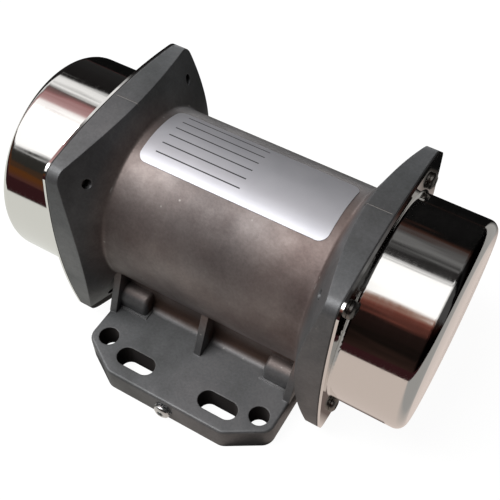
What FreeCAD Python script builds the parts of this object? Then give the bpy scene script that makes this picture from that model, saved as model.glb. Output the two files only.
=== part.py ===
import FreeCAD, Part
import math
import os
import types

import Sketcher

# External vibration motor: a finned-foot aluminium housing holds the stator, two bearing
# shields carry the shaft, and a pair of eccentric weights turns inside each end cover.
# X runs along the shaft, Z is up, and the origin is the centre of the foot's underside.
# Sketches are drawn on the shaft's own axis, and every body is raised to the shaft height.

SIZES = [
    # (name, value in millimetres or degrees, what it sets)
    ("shaft_height", 40.0, "foot underside to shaft axis"),
    ("body_radius", 30.6, "outside of the barrel"),
    ("bore_radius", 27.5, "barrel bore that holds the stator"),
    ("neck_reach", 35.4, "half length of the plain barrel"),
    ("neck_round", 1.5, "hollow where the barrel meets the flange's back"),
    ("back_angle", 25.0, "rake of the flange's conical back, degrees"),
    ("flange_face", 47.5, "shaft centre to each flange face"),
    ("flange_corner", 34.8, "half width of a flange at its corners"),
    ("flange_side", 38.3, "half width of a flange at the middle of its sides"),
    ("flange_round", 5.3, "rounding of the flange corners"),
    ("recess_radius", 32.6, "seat of the bearing shield in the flange"),
    ("recess_depth", 7.5, "depth of that seat"),
    ("foot_length", 72.4, "foot along the shaft"),
    ("foot_width", 108.4, "foot across the shaft"),
    ("foot_thick", 10.0, "foot plate"),
    ("foot_cut_x", 13.9, "corner cut of the foot, along the shaft"),
    ("foot_cut_y", 8.5, "corner cut of the foot, across the shaft"),
    ("foot_round", 5.0, "rounding of the foot's outline"),
    ("foot_edge", 1.0, "rounding of the foot's top edge"),
    ("relief_width", 54.0, "channel under the foot"),
    ("relief_depth", 1.5, "depth of that channel"),
    ("saddle_width", 48.0, "pedestal wall, across the shaft at the foot"),
    ("saddle_draft", 0.9, "lean of the pedestal wall"),
    ("saddle_round", 3.5, "hollow between the pedestal wall and the foot"),
    ("rib_thick", 2.6, "pedestal ribs"),
    ("rib_foot", 33.6, "shaft centre line to the outer end of a rib"),
    ("rib_angle", 62.0, "where a rib leaves the barrel, degrees from straight down"),
    ("pad_reach", 29.9, "shaft centre line to the rounded pads beside the end ribs"),
    ("pad_inner", 23.5, "shaft centre to the inner end of a pad"),
    ("pad_height", 7.6, "pad above the foot"),
    ("pad_round", 5.2, "rounding of a pad"),
    ("pad_end_round", 1.4, "rounding of a pad's inner end"),
    ("bead_width", 0.7, "bead round the pads on the foot"),
    ("bead_height", 0.4, "height of that bead"),
    ("hole_edge_x", 6.2, "foot end to the round holes, along the shaft"),
    ("hole_edge_y", 11.7, "foot side to the round holes, across the shaft"),
    ("slot_edge_y", 8.2, "foot side to the slots, across the shaft"),
    ("slot_pitch_x", 32.5, "foot slots, along the shaft"),
    ("slot_length", 14.5, "foot slot, end to end"),
    ("bolt_radius", 3.5, "foot holes and half the slot width"),
    ("gasket_thick", 0.4, "flange gasket"),
    ("cover_radius", 35.25, "outside of the end cover's cup"),
    ("cover_wall", 0.8, "drawn steel sheet"),
    ("cover_end", 73.5, "shaft centre to the outside of the cover's end"),
    ("cover_round", 3.5, "outside rounding of the cover's end"),
    ("cover_hem", 1.0, "rounding between the cup and its flange"),
    ("screw_pitch", 27.6, "cover screws, from the axis in Y and in Z"),
    ("screw_radius", 1.5, "cover and shield screws"),
    ("screw_play", 0.1, "play round every screw"),
    ("screw_length", 8.0, "cover screw under its head"),
    ("screw_relief", 1.5, "screw holes beyond the screws"),
    ("head_radius", 3.0, "cover and earth screw heads"),
    ("head_height", 1.9, "cover and earth screw heads"),
    ("socket_radius", 1.2, "drive recess of the screws"),
    ("socket_depth", 1.0, "depth of that recess"),
    ("earth_height", 4.8, "earth screw above the foot's underside"),
    ("earth_length", 8.0, "earth screw under its head"),
    ("lock_thick", 0.5, "toothed washer under the earth screw"),
    ("lock_radius", 3.3, "outside of that washer"),
    ("shield_pitch", 21.0, "shield screws, from the axis in Y and in Z"),
    ("shield_thick", 4.0, "rim of a bearing shield"),
    ("spigot_length", 4.0, "shield spigot in the barrel bore"),
    ("spigot_wall", 3.0, "wall of that spigot"),
    ("hub_radius", 19.5, "shield hub round the bearing"),
    ("hub_lip", 2.5, "shield wall that holds the bearing's outer ring"),
    ("lip_radius", 8.8, "hole in that wall"),
    ("shield_screw_length", 6.8, "shield screw under its head"),
    ("shield_head_radius", 2.5, "shield screw heads"),
    ("shield_head_height", 1.5, "shield screw heads"),
    ("fit_play", 0.03, "radial play of a close fit"),
    ("bearing_start", 33.0, "shaft centre to a bearing's inner face"),
    ("bearing_width", 10.0, "ball bearing"),
    ("bearing_outer", 16.0, "outside radius of a bearing"),
    ("bearing_pitch", 11.0, "ball centres"),
    ("ball_radius", 2.975, "bearing balls"),
    ("ball_play", 0.12, "balls to the races"),
    ("race_gap", 1.8, "ball centres to the shoulder of either race"),
    ("cage_wall", 2.0, "bearing cage, radial"),
    ("cage_width", 7.6, "bearing cage, along the shaft"),
    ("seal_thick", 0.6, "bearing seals"),
    ("seal_inset", 0.3, "bearing face to its seal"),
    ("shaft_radius", 6.0, "shaft at the bearings and weights"),
    ("shaft_core", 7.0, "shaft in the rotor"),
    ("shaft_over", 2.4, "shaft beyond the retaining ring"),
    ("shaft_chamfer", 0.8, "shaft ends"),
    ("core_length", 28.0, "stator and rotor laminations"),
    ("stator_bore_radius", 15.3, "inside of the stator"),
    ("slot_inner", 16.6, "stator slots, nearest the shaft"),
    ("slot_outer", 23.4, "stator slots, furthest out"),
    ("slot_width", 4.0, "stator slots"),
    ("mouth_width", 1.6, "slot mouths in the stator bore"),
    ("slot_liner", 0.2, "liner between coil and slot"),
    ("coil_length", 9.0, "coil heads beyond the laminations"),
    ("coil_outer", 24.6, "outside of the coil heads"),
    ("coil_round", 2.5, "rounding of the coil heads"),
    ("air_gap", 0.35, "rotor to stator"),
    ("ring_length", 4.0, "rotor end rings"),
    ("ring_inner", 9.0, "inside of the rotor end rings"),
    ("bush_length", 3.6, "spacer bush between bearing and weight"),
    ("bush_radius", 8.0, "outside of that bush"),
    ("weight_radius", 29.5, "eccentric weights"),
    ("weight_thick", 9.5, "each eccentric weight"),
    ("weight_flat", 3.5, "shaft axis to the flat of a weight"),
    ("weight_hub", 10.5, "hub of a weight"),
    ("shim_thick", 0.5, "shim between the two weights"),
    ("shim_radius", 9.5, "outside of the shim and the outer washer"),
    ("washer_thick", 1.0, "washer outside the weights"),
    ("clip_thick", 1.0, "retaining ring"),
    ("clip_radius", 8.2, "outside of the retaining ring"),
    ("clip_bite", 0.6, "depth of the retaining ring's groove"),
    ("clip_gap", 3.0, "opening of the retaining ring"),
    ("groove_play", 0.15, "retaining ring to its groove"),
    ("key_width", 4.0, "key of the fixed weight"),
    ("key_height", 4.0, "the same key, radially"),
    ("key_depth", 2.2, "key seat in the shaft"),
    ("ear_width", 17.0, "clamp ears of the adjustable weight"),
    ("ear_height", 13.8, "shaft axis to the top of the ears"),
    ("ear_slit", 1.6, "slit between the ears"),
    ("clamp_height", 9.9, "shaft axis to the clamp screw"),
    ("clamp_radius", 2.0, "clamp screw"),
    ("clamp_head", 3.5, "head of the clamp screw"),
    ("clamp_head_height", 4.0, "head of the clamp screw"),
    ("gland_place", 20.5, "shaft centre to the cable entry"),
    ("gland_drop", 18.0, "shaft axis down to the cable entry"),
    ("gland_boss", 9.0, "boss of the cable entry"),
    ("gland_seat", 35.5, "shaft centre line to the face of that boss"),
    ("gland_thread", 6.0, "thread of the cable gland"),
    ("gland_grip", 6.0, "length of that thread"),
    ("gland_hex", 16.0, "gland across its flats"),
    ("gland_collar", 4.5, "gland's hexagon"),
    ("nut_flats", 15.0, "dome nut across its flats"),
    ("nut_length", 9.0, "dome nut"),
    ("nut_mouth", 3.7, "mouth of the dome nut"),
    ("tube_wall", 1.2, "wall of the gland's tube"),
    ("cable_radius", 3.0, "cable that the seal takes"),
    ("label_length", 65.0, "rating plate along the shaft"),
    ("label_near", 11.8, "rating plate, towards the front"),
    ("label_far", 13.4, "rating plate, towards the back"),
    ("label_thick", 0.2, "rating plate"),
    ("label_round", 3.0, "corners of the rating plate"),
]

BALL_COUNT = 7
STATOR_SLOTS = 12
SIDES = (("left", -1), ("right", 1))


class Dim:
    # A size that keeps both its value and the sheet expression it comes from.
    def __init__(self, value, text):
        self.value = value
        self.text = text

    def __add__(self, other):
        other = dim(other)
        return Dim(self.value + other.value, f"({self.text} + {other.text})")

    def __sub__(self, other):
        other = dim(other)
        return Dim(self.value - other.value, f"({self.text} - {other.text})")

    def __mul__(self, other):
        other = dim(other)
        return Dim(self.value * other.value, f"({self.text} * {other.text})")

    def __truediv__(self, other):
        other = dim(other)
        return Dim(self.value / other.value, f"({self.text} / {other.text})")

    def __rsub__(self, other):
        return dim(other) - self

    def __neg__(self):
        return Dim(-self.value, f"(0 - {self.text})")

    __radd__ = __add__
    __rmul__ = __mul__


def dim(number):
    if isinstance(number, Dim):
        return number
    return Dim(float(number), f"({float(number)})")


def root(size):
    return Dim(math.sqrt(size.value), f"sqrt({size.text})")


def chord(radius, height):
    # Half width of a circle at a height above its centre.
    return root(radius * radius - height * height)


def trig(function, size):
    angle = math.radians(size.value)
    return Dim(getattr(math, function)(angle), f"{function}({size.text} * 1 deg)")


doc = FreeCAD.newDocument("vibration_motor")
sheet = doc.addObject("Spreadsheet::Sheet", "sizes")
for row, (name, value, note) in enumerate(SIZES, 1):
    sheet.set(f"A{row}", name)
    sheet.set(f"B{row}", str(value))
    sheet.set(f"C{row}", note)
    sheet.setAlias(f"B{row}", name)
doc.recompute()
size = types.SimpleNamespace(**{name: Dim(value, f"sizes.{name}") for name, value, _ in SIZES})
nodes = {}


# ---- helpers -------------------------------------------------------------------------

def keep(name, shape_object):
    shape_object.Label = name
    nodes[name] = shape_object
    return shape_object


def bind(thing, **sizes_by_property):
    for name, value in sizes_by_property.items():
        thing.setExpression(name, dim(value).text)


def raise_to_shaft(thing, x=0, y=0, z=0):
    thing.setExpression(".Placement.Base.x", dim(x).text)
    thing.setExpression(".Placement.Base.y", dim(y).text)
    thing.setExpression(".Placement.Base.z", (size.shaft_height + z).text)


def new_body(name):
    body = doc.addObject("PartDesign::Body", name)
    raise_to_shaft(body)
    return keep(name, body)


def sketch_on(body, role, offset=0):
    sketch = body.newObject("Sketcher::SketchObject", "sketch")
    plane = [item for item in body.Origin.OriginFeatures if item.Role == role][0]
    sketch.AttachmentSupport = [(plane, "")]
    sketch.MapMode = "FlatFace"
    sketch.setExpression(".AttachmentOffset.Base.z", dim(offset).text)
    return sketch


def pin_point(sketch, element, position, x=None, y=None):
    for kind, value in (("DistanceX", x), ("DistanceY", y)):
        if value is not None:
            value = dim(value)
            rule = Sketcher.Constraint(kind, -1, 1, element, position, value.value)
            index = sketch.addConstraint(rule)
            sketch.setExpression(f"Constraints[{index}]", value.text)


def outline(sketch, points, arcs=None):
    # A closed outline, listed anticlockwise. arcs gives the centre of each edge that is an arc,
    # which bulges where its centre is inside and is hollow where its centre is outside.
    arcs = arcs or {}
    points = [(dim(x), dim(y)) for x, y in points]
    first = sketch.GeometryCount
    total = len(points)
    ends = []
    for index, (x, y) in enumerate(points):
        end_x, end_y = points[(index + 1) % total]
        start = FreeCAD.Vector(x.value, y.value, 0)
        end = FreeCAD.Vector(end_x.value, end_y.value, 0)
        element = first + index
        if index not in arcs:
            sketch.addGeometry(Part.LineSegment(start, end), False)
            ends.append((1, 2))
            pin_point(sketch, element, 1, x, y)
            continue
        centre_x, centre_y = (dim(value) for value in arcs[index])
        centre = FreeCAD.Vector(centre_x.value, centre_y.value, 0)
        hollow = (start - centre).cross(end - centre).z < 0
        curve = Part.Circle(centre, FreeCAD.Vector(0, 0, 1), (start - centre).Length)
        turn = [math.atan2(point.y - centre.y, point.x - centre.x) for point in (start, end)]
        if hollow:
            turn.reverse()
        if turn[1] <= turn[0]:
            turn[1] += 2 * math.pi
        sketch.addGeometry(Part.ArcOfCircle(curve, turn[0], turn[1]), False)
        ends.append((2, 1) if hollow else (1, 2))
        pin_point(sketch, element, ends[-1][0], x, y)
        level = abs(end.y - start.y) < 1e-6
        pin_point(sketch, element, 3, None if level else centre_x, centre_y if level else None)
    for index in range(total):
        after = (index + 1) % total
        rule = (first + index, ends[index][1], first + after, ends[after][0])
        sketch.addConstraint(Sketcher.Constraint("Coincident", *rule))
    return sketch


def circle(sketch, x, y, radius):
    x, y, radius = dim(x), dim(y), dim(radius)
    element = sketch.GeometryCount
    centre = FreeCAD.Vector(x.value, y.value, 0)
    sketch.addGeometry(Part.Circle(centre, FreeCAD.Vector(0, 0, 1), radius.value), False)
    pin_point(sketch, element, 3, x, y)
    index = sketch.addConstraint(Sketcher.Constraint("Radius", element, radius.value))
    sketch.setExpression(f"Constraints[{index}]", radius.text)
    return sketch


def rectangle(sketch, low_x, low_y, high_x, high_y):
    corners = [(low_x, low_y), (high_x, low_y), (high_x, high_y), (low_x, high_y)]
    return outline(sketch, corners)


def volume(body):
    return body.Shape.Volume if body.Tip else 0.0


def feature(body, kind, sketch, grows, **settings):
    # Adds one sketched feature and makes sure that it added or removed material.
    before = volume(body)
    step = body.newObject("PartDesign::" + kind, kind.lower())
    step.Profile = sketch
    for name, value in settings.items():
        if isinstance(value, Dim):
            step.setExpression(name, value.text)
        else:
            setattr(step, name, value)
    doc.recompute()
    change = volume(body) - before
    if "Invalid" in step.State or (change if grows else -change) < 1e-6:
        raise RuntimeError(f"{body.Label}: {step.Name} changed the volume by {change:.4f}")
    return step


def pad(body, sketch, length, side="One side", flip=False):
    return feature(body, "Pad", sketch, True, SideType=side, Reversed=flip, Length=dim(length))


def pocket(body, sketch, length, side="One side", flip=False):
    return feature(body, "Pocket", sketch, False, SideType=side, Reversed=flip, Length=dim(length))


def revolve(body, points, kind="Revolution", arcs=None):
    # Points are (along the shaft, radius).
    sketch = outline(sketch_on(body, "XZ_Plane"), points, arcs)
    axis = (sketch, ["H_Axis"])
    return feature(body, kind, sketch, kind == "Revolution", ReferenceAxis=axis, Angle=360)


def round_edges(body, radius, test):
    base = body.Tip
    names = [f"Edge{i}" for i, edge in enumerate(base.Shape.Edges, 1) if test(edge)]
    if not names:
        raise RuntimeError(f"{body.Label}: no edge to round")
    step = body.newObject("PartDesign::Fillet", "fillet")
    step.Base = (base, names)
    bind(step, Radius=radius)
    doc.recompute()
    if "Invalid" in step.State:
        raise RuntimeError(f"{body.Label}: fillet failed")
    return step


def near(value, target):
    return abs(value - target) < 1e-4


def is_circle(edge, x, radius):
    # A full circle about the shaft axis. Shapes inside a body are in the body's own frame.
    curve = edge.Curve
    if not isinstance(curve, Part.Circle) or not near(curve.Radius, radius):
        return False
    return near(curve.Center.x, x) and near(abs(curve.Axis.x), 1)


def mirror_x(points, side):
    # A revolved profile for either end of the motor.
    return [(x * side, radius) for x, radius in points]


TURN = {
    "X": FreeCAD.Rotation(FreeCAD.Vector(0, 1, 0), 90),
    "-X": FreeCAD.Rotation(FreeCAD.Vector(0, 1, 0), -90),
    "Y": FreeCAD.Rotation(FreeCAD.Vector(1, 0, 0), -90),
    "-Y": FreeCAD.Rotation(FreeCAD.Vector(1, 0, 0), 90),
}


def rod(radius, length, x, y, z, axis="X"):
    item = doc.addObject("Part::Cylinder", "rod")
    bind(item, Radius=radius, Height=length)
    item.Placement = FreeCAD.Placement(FreeCAD.Vector(), TURN[axis])
    raise_to_shaft(item, x, y, z)
    return item


def hexagon(flats, length, x, y, z, axis):
    item = doc.addObject("Part::Prism", "hexagon")
    item.Polygon = 6
    bind(item, Circumradius=dim(flats) / trig("cos", dim(30)) / 2, Height=length)
    item.Placement = FreeCAD.Placement(FreeCAD.Vector(), TURN[axis])
    raise_to_shaft(item, x, y, z)
    return item


def cut(base, tool):
    item = doc.addObject("Part::Cut", "cut")
    item.Base = base
    item.Tool = tool
    return item


def fuse(parts):
    item = doc.addObject("Part::MultiFuse", "fuse")
    item.Shapes = parts
    return item


def group(parts):
    item = doc.addObject("Part::Compound", "group")
    item.Links = parts
    return item


def ring(outer, inner, thick, x, side=1):
    axis = "X" if side > 0 else "-X"
    return cut(rod(outer, thick, x, 0, 0, axis), rod(inner, thick, x, 0, 0, axis))


def screw(radius, length, head, head_height, x, y, z, axis):
    # The point (x, y, z) is under the head, and axis is the way the head points.
    back = {"X": "-X", "-X": "X", "Y": "-Y", "-Y": "Y"}[axis]
    body = fuse([rod(head, head_height, x, y, z, axis), rod(radius, length, x, y, z, back)])
    along = head_height - size.socket_depth
    lead = {"X": (along, 0), "-X": (-along, 0), "Y": (0, along), "-Y": (0, -along)}[axis]
    recess = rod(size.socket_radius, size.socket_depth, dim(x) + lead[0], dim(y) + lead[1], z, axis)
    return cut(body, recess)


def four_corners(pitch):
    return [(pitch * y, pitch * z) for y in (-1, 1) for z in (-1, 1)]


# ---- sizes that several pieces share ---------------------------------------------------

back_slope = trig("tan", size.back_angle)
foot_plane = -size.shaft_height
foot_top = foot_plane + size.foot_thick
cover_back = size.flange_face + size.gasket_thick
cover_face = cover_back + size.cover_wall
shield_seat = size.flange_face - size.recess_depth
shield_face = shield_seat + size.shield_thick
screw_hole = size.screw_radius + size.screw_play
bearing_end = size.bearing_start + size.bearing_width
bearing_middle = size.bearing_start + size.bearing_width / 2
inner_race = size.bearing_pitch - size.race_gap
outer_race = size.bearing_pitch + size.race_gap
fixed_start = bearing_end + size.bush_length
loose_start = fixed_start + size.weight_thick + size.shim_thick
washer_start = loose_start + size.weight_thick
clip_start = washer_start + size.washer_thick + size.groove_play
shaft_end = clip_start + size.clip_thick + size.shaft_over
weight_bore = size.shaft_radius + size.fit_play
coil_end = size.core_length / 2 + size.coil_length
gland_z = -size.gland_drop
nut_start = size.gland_seat + size.gland_collar + size.screw_play


def bowed_square(sketch):
    # The flange outline: four corners joined by gently bowed sides.
    corner = size.flange_corner
    rise = size.flange_side - corner
    bow = (corner * corner + rise * rise) / (rise * 2)
    centre = size.flange_side - bow
    points = [(corner, corner), (-corner, corner), (-corner, -corner), (corner, -corner)]
    arcs = {0: (0, centre), 1: (-centre, 0), 2: (0, -centre), 3: (centre, 0)}
    return outline(sketch, points, arcs)


def corner_edges(low, high):
    # Short edges along the shaft at the flange corners, between two distances from the centre.
    limit = size.flange_corner.value

    def test(edge):
        box = edge.BoundBox
        straight = box.YLength < 1e-4 and box.ZLength < 1e-4 and box.XLength > 0.1
        reach = max(abs(box.XMin), abs(box.XMax))
        corner = near(abs(box.YMin), limit) and near(abs(box.ZMin), limit)
        return straight and corner and low.value - 1e-3 <= reach <= high.value + 1e-3

    return test


# ---- housing casting -------------------------------------------------------------------

def add_foot(body):
    half_x = size.foot_length / 2
    half_y = size.foot_width / 2
    in_x = half_x - size.foot_cut_x
    in_y = half_y - size.foot_cut_y
    corners = [(half_x, in_y), (in_x, half_y), (-in_x, half_y), (-half_x, in_y)]
    points = corners + [(-x, -y) for x, y in corners]
    pad(body, outline(sketch_on(body, "XY_Plane", foot_plane), points), size.foot_thick)
    round_edges(body, size.foot_round, lambda edge: edge.BoundBox.ZLength > 1)
    top = foot_top.value
    round_edges(body, size.foot_edge, lambda edge: near(edge.BoundBox.ZMin, top))


def add_saddle(body):
    # Pedestal walls, which flow into the foot and lean in a little as they rise to the barrel.
    low = foot_plane + size.foot_thick / 2
    high = -(size.body_radius / 2.5)
    half = size.saddle_width / 2
    lean = half - size.saddle_draft
    flare = half + size.saddle_round
    bend = foot_top + size.saddle_round
    points = [(-flare, low), (flare, low), (flare, foot_top), (half, bend), (lean, high),
              (-lean, high), (-half, bend), (-flare, foot_top)]
    sketch = outline(sketch_on(body, "YZ_Plane"), points, {2: (flare, bend), 6: (-flare, bend)})
    pad(body, sketch, size.foot_length, "Symmetric")


def add_barrel(body):
    # Barrel and flanges are turned as one, and the flanges are then trimmed square.
    blank = size.flange_corner * 1.45
    rim = size.neck_reach + (blank - size.body_radius) * back_slope
    run = size.neck_round * trig("tan", (90 - size.back_angle) / 2)
    neck_x = size.neck_reach - run
    cone = (size.neck_reach + run * trig("sin", size.back_angle),
            size.body_radius + run * trig("cos", size.back_angle))
    half = [(size.flange_face, 0), (size.flange_face, blank), (rim, blank), cone,
            (neck_x, size.body_radius)]
    hollow = size.body_radius + size.neck_round
    revolve(body, half + [(-x, radius) for x, radius in reversed(half)],
            arcs={3: (neck_x, hollow), 5: (-neck_x, hollow)})
    shoulder = size.neck_reach + (size.flange_side - size.body_radius) * back_slope
    for _, side in SIDES:
        sketch = sketch_on(body, "YZ_Plane", size.flange_face * side)
        circle(bowed_square(sketch), 0, 0, blank * 1.1)
        pocket(body, sketch, size.flange_face - shoulder, flip=side < 0)
    round_edges(body, size.flange_round, corner_edges(size.neck_reach, size.flange_face))


def add_ribs(body):
    # Three upright ribs a side, from the barrel's flank down to the foot.
    top_y = size.body_radius * trig("sin", size.rib_angle)
    top_z = -(size.body_radius * trig("cos", size.rib_angle))
    inner = size.saddle_width / 2 - 2
    low = foot_top - 1
    end = size.foot_length / 2 - size.rib_thick / 2
    for place in (-end, dim(0), end):
        sketch = sketch_on(body, "YZ_Plane", place)
        rib = [(inner, low), (size.rib_foot, low), (size.rib_foot, foot_top), (top_y, top_z),
               (inner, top_z)]
        outline(sketch, rib)
        outline(sketch, [(-y, z) for y, z in reversed(rib)])
        pad(body, sketch, size.rib_thick, "Symmetric")


def add_pads(body):
    # Rounded pads between the end ribs and the pedestal wall, with a bead where they meet the foot.
    end = size.foot_length / 2 - size.rib_thick / 2
    inner = size.saddle_width / 2 - 2
    round_y = size.pad_reach - size.pad_round
    top = foot_top + size.pad_height
    round_z = top - size.pad_round
    boss = [(inner, foot_top - 1), (size.pad_reach, foot_top - 1), (size.pad_reach, round_z),
            (round_y, top), (inner, top)]
    rim = size.pad_reach + size.bead_width
    bead = [(inner, foot_top - 1), (rim, foot_top - 1), (rim, foot_top + size.bead_height),
            (inner, foot_top + size.bead_height)]
    for points, start, centre in ((boss, size.pad_inner, (round_y, round_z)),
                                  (bead, size.pad_inner - size.bead_width, None)):
        for _, side in SIDES:
            sketch = sketch_on(body, "YZ_Plane", (start + end) / 2 * side)
            outline(sketch, points, {2: centre} if centre else None)
            flipped = [(-y, z) for y, z in reversed(points)]
            outline(sketch, flipped, {1: (-centre[0], centre[1])} if centre else None)
            pad(body, sketch, end - start, "Symmetric")
        if centre:
            round_pad_ends(body)


def round_pad_ends(body):
    level = size.pad_inner.value
    floor = foot_top.value

    def test(edge):
        box = edge.BoundBox
        at_end = near(abs(box.XMin), level) and box.XLength < 1e-4
        outside = max(abs(box.YMin), abs(box.YMax)) > size.saddle_width.value / 2
        return at_end and outside and box.ZMax > floor + 0.01

    round_edges(body, size.pad_end_round, test)


def bore_housing(body):
    out = size.flange_face + 1
    half = [(out, 0), (out, size.recess_radius), (shield_seat, size.recess_radius),
            (shield_seat, size.bore_radius)]
    revolve(body, half + [(-x, radius) for x, radius in reversed(half)], "Groove")


def drill_foot(body):
    sketch = sketch_on(body, "XY_Plane", foot_plane)
    reach = (size.slot_length - size.bolt_radius * 2) / 2
    for side_x in (-1, 1):
        for side_y in (-1, 1):
            hole_x = size.foot_length / 2 - size.hole_edge_x
            hole_y = size.foot_width / 2 - size.hole_edge_y
            circle(sketch, hole_x * side_x, hole_y * side_y, size.bolt_radius)
            x = size.slot_pitch_x / 2 * side_x
            y = (size.foot_width / 2 - size.slot_edge_y) * side_y
            low, high = y - size.bolt_radius, y + size.bolt_radius
            slot = [(x - reach, low), (x + reach, low), (x + reach, high), (x - reach, high)]
            outline(sketch, slot, {1: (x + reach, y), 3: (x - reach, y)})
    pocket(body, sketch, size.foot_thick * 2.4, "Symmetric")
    relief = sketch_on(body, "XY_Plane", foot_plane + size.relief_depth)
    rectangle(relief, -size.foot_length, -size.relief_width / 2,
              size.foot_length, size.relief_width / 2)
    pocket(body, relief, size.flange_side)


def drill_flanges(body):
    depth = size.screw_length + size.screw_relief
    for _, side in SIDES:
        covers = sketch_on(body, "YZ_Plane", size.flange_face * side)
        for y, z in four_corners(size.screw_pitch):
            circle(covers, y, z, screw_hole)
        pocket(body, covers, depth, flip=side < 0)
        shields = sketch_on(body, "YZ_Plane", shield_seat * side)
        for y, z in four_corners(size.shield_pitch):
            circle(shields, y, z, screw_hole)
        shield_depth = size.shield_screw_length - size.shield_thick + size.screw_relief
        pocket(body, shields, shield_depth, flip=side < 0)
    earth = sketch_on(body, "XZ_Plane", size.foot_width / 2)
    circle(earth, 0, foot_plane + size.earth_height, screw_hole)
    pocket(body, earth, size.earth_length + size.screw_relief)


def add_cable_boss(body):
    # On the back, low down between two ribs. It is cut through to the coil heads later.
    boss = sketch_on(body, "XZ_Plane", -size.gland_seat)
    circle(boss, size.gland_place, gland_z, size.gland_boss)
    pad(body, boss, size.gland_seat - size.saddle_width / 4)


def bore_cable_boss(body):
    entry = sketch_on(body, "XZ_Plane", -size.gland_seat)
    circle(entry, size.gland_place, gland_z, size.gland_thread + size.fit_play)
    pocket(body, entry, size.gland_seat - size.saddle_width / 4, flip=True)


def make_housing():
    body = new_body("housing")
    add_foot(body)
    add_pads(body)
    add_saddle(body)
    add_barrel(body)
    add_ribs(body)
    add_cable_boss(body)
    bore_housing(body)
    drill_foot(body)
    drill_flanges(body)
    bore_cable_boss(body)


# ---- stator ------------------------------------------------------------------------------

def make_stator():
    body = new_body("stator_core")
    half = size.core_length / 2
    outside = size.bore_radius - size.fit_play
    revolve(body, [(-half, size.stator_bore_radius), (half, size.stator_bore_radius), (half, outside),
                   (-half, outside)])
    slot = sketch_on(body, "YZ_Plane")
    rectangle(slot, -size.slot_width / 2, size.slot_inner, size.slot_width / 2, size.slot_outer)
    first = pocket(body, slot, size.core_length + 2, "Symmetric")
    mouth = sketch_on(body, "YZ_Plane")
    rectangle(mouth, -size.mouth_width / 2, size.stator_bore_radius - 1, size.mouth_width / 2,
              size.slot_inner + 1)
    second = pocket(body, mouth, size.core_length + 2, "Symmetric")
    pattern = body.newObject("PartDesign::PolarPattern", "slots")
    pattern.Originals = [first, second]
    pattern.Axis = ([item for item in body.Origin.OriginFeatures if item.Role == "X_Axis"][0], [""])
    pattern.Angle = 360
    pattern.Occurrences = STATOR_SLOTS
    body.Tip = pattern
    doc.recompute()

    coils = new_body("stator_windings")
    low = size.slot_inner + size.slot_liner
    inside = low + size.coil_round / 5
    for _, side in SIDES:
        near_face = half + size.slot_liner * 2
        revolve(coils, mirror_x([(near_face, inside), (coil_end, inside), (coil_end, size.coil_outer),
                                 (near_face, size.coil_outer)], side))
        if side < 0:
            bars = sketch_on(coils, "YZ_Plane")
            reach = size.slot_width / 2 - size.slot_liner
            rectangle(bars, -reach, low, reach, size.slot_outer - size.slot_liner)
            bar = pad(coils, bars, size.core_length + size.coil_length, "Symmetric")
            spread = coils.newObject("PartDesign::PolarPattern", "bars")
            spread.Originals = [bar]
            axis = [item for item in coils.Origin.OriginFeatures if item.Role == "X_Axis"][0]
            spread.Axis = (axis, [""])
            spread.Angle = 360
            spread.Occurrences = STATOR_SLOTS
            coils.Tip = spread
            doc.recompute()
    end = coil_end.value
    round_edges(coils, size.coil_round, lambda edge: any(
        is_circle(edge, end * side, size.coil_outer.value) for _, side in SIDES))


# ---- rotor -------------------------------------------------------------------------------

def make_rotor():
    body = new_body("shaft")
    seat = size.shaft_radius - size.fit_play / 2
    groove = clip_start - size.groove_play
    groove_end = clip_start + size.clip_thick + size.groove_play
    deep = size.shaft_radius - size.clip_bite
    half = [(shaft_end, 0), (shaft_end, seat - size.shaft_chamfer),
            (shaft_end - size.shaft_chamfer, seat), (groove_end, seat), (groove_end, deep),
            (groove, deep), (groove, seat), (size.bearing_start, seat),
            (size.bearing_start, size.shaft_core)]
    revolve(body, half + [(-x, radius) for x, radius in reversed(half)])
    for _, side in SIDES:
        key = sketch_on(body, "YZ_Plane", fixed_start * side)
        wide = size.key_width / 2 + size.fit_play
        rectangle(key, -wide, size.shaft_radius - size.key_depth, wide, size.shaft_radius + 1)
        pocket(body, key, size.weight_thick, flip=side > 0)

    core_radius = size.stator_bore_radius - size.air_gap
    keep("rotor_core", ring(core_radius, size.shaft_core + size.fit_play, size.core_length,
                            -size.core_length / 2))
    ends = [ring(core_radius - size.air_gap, size.ring_inner, size.ring_length,
                 size.core_length / 2 * side, side) for _, side in SIDES]
    keep("rotor_end_rings", group(ends))


# ---- bearings and their shields ----------------------------------------------------------

def make_shield(name, side):
    body = new_body(f"bearing_shield_{name}")
    start = size.bearing_start - 0.5
    pocket_radius = size.bearing_outer + size.fit_play
    inset = shield_seat - size.spigot_length
    spigot = size.bore_radius - size.fit_play
    web = size.bearing_start + size.bearing_width / 2
    points = [(start, pocket_radius), (bearing_end, pocket_radius), (bearing_end, size.lip_radius),
              (bearing_end + size.hub_lip, size.lip_radius),
              (bearing_end + size.hub_lip, size.hub_radius), (shield_face, size.hub_radius + 1),
              (shield_face, size.recess_radius - size.fit_play),
              (shield_seat, size.recess_radius - size.fit_play), (shield_seat, spigot),
              (inset, spigot), (inset, spigot - size.spigot_wall),
              (web, spigot - size.spigot_wall - 0.5), (web, size.hub_radius),
              (start, size.hub_radius)]
    revolve(body, mirror_x(points, side))
    holes = sketch_on(body, "YZ_Plane", shield_face * side)
    for y, z in four_corners(size.shield_pitch):
        circle(holes, y, z, screw_hole)
    pocket(body, holes, size.shield_thick + size.spigot_length + 1, flip=side < 0)
    heads = [screw(size.screw_radius, size.shield_screw_length, size.shield_head_radius,
                   size.shield_head_height, shield_face * side, y, z, "X" if side > 0 else "-X")
             for y, z in four_corners(size.shield_pitch)]
    keep(f"shield_screws_{name}", group(heads))


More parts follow.
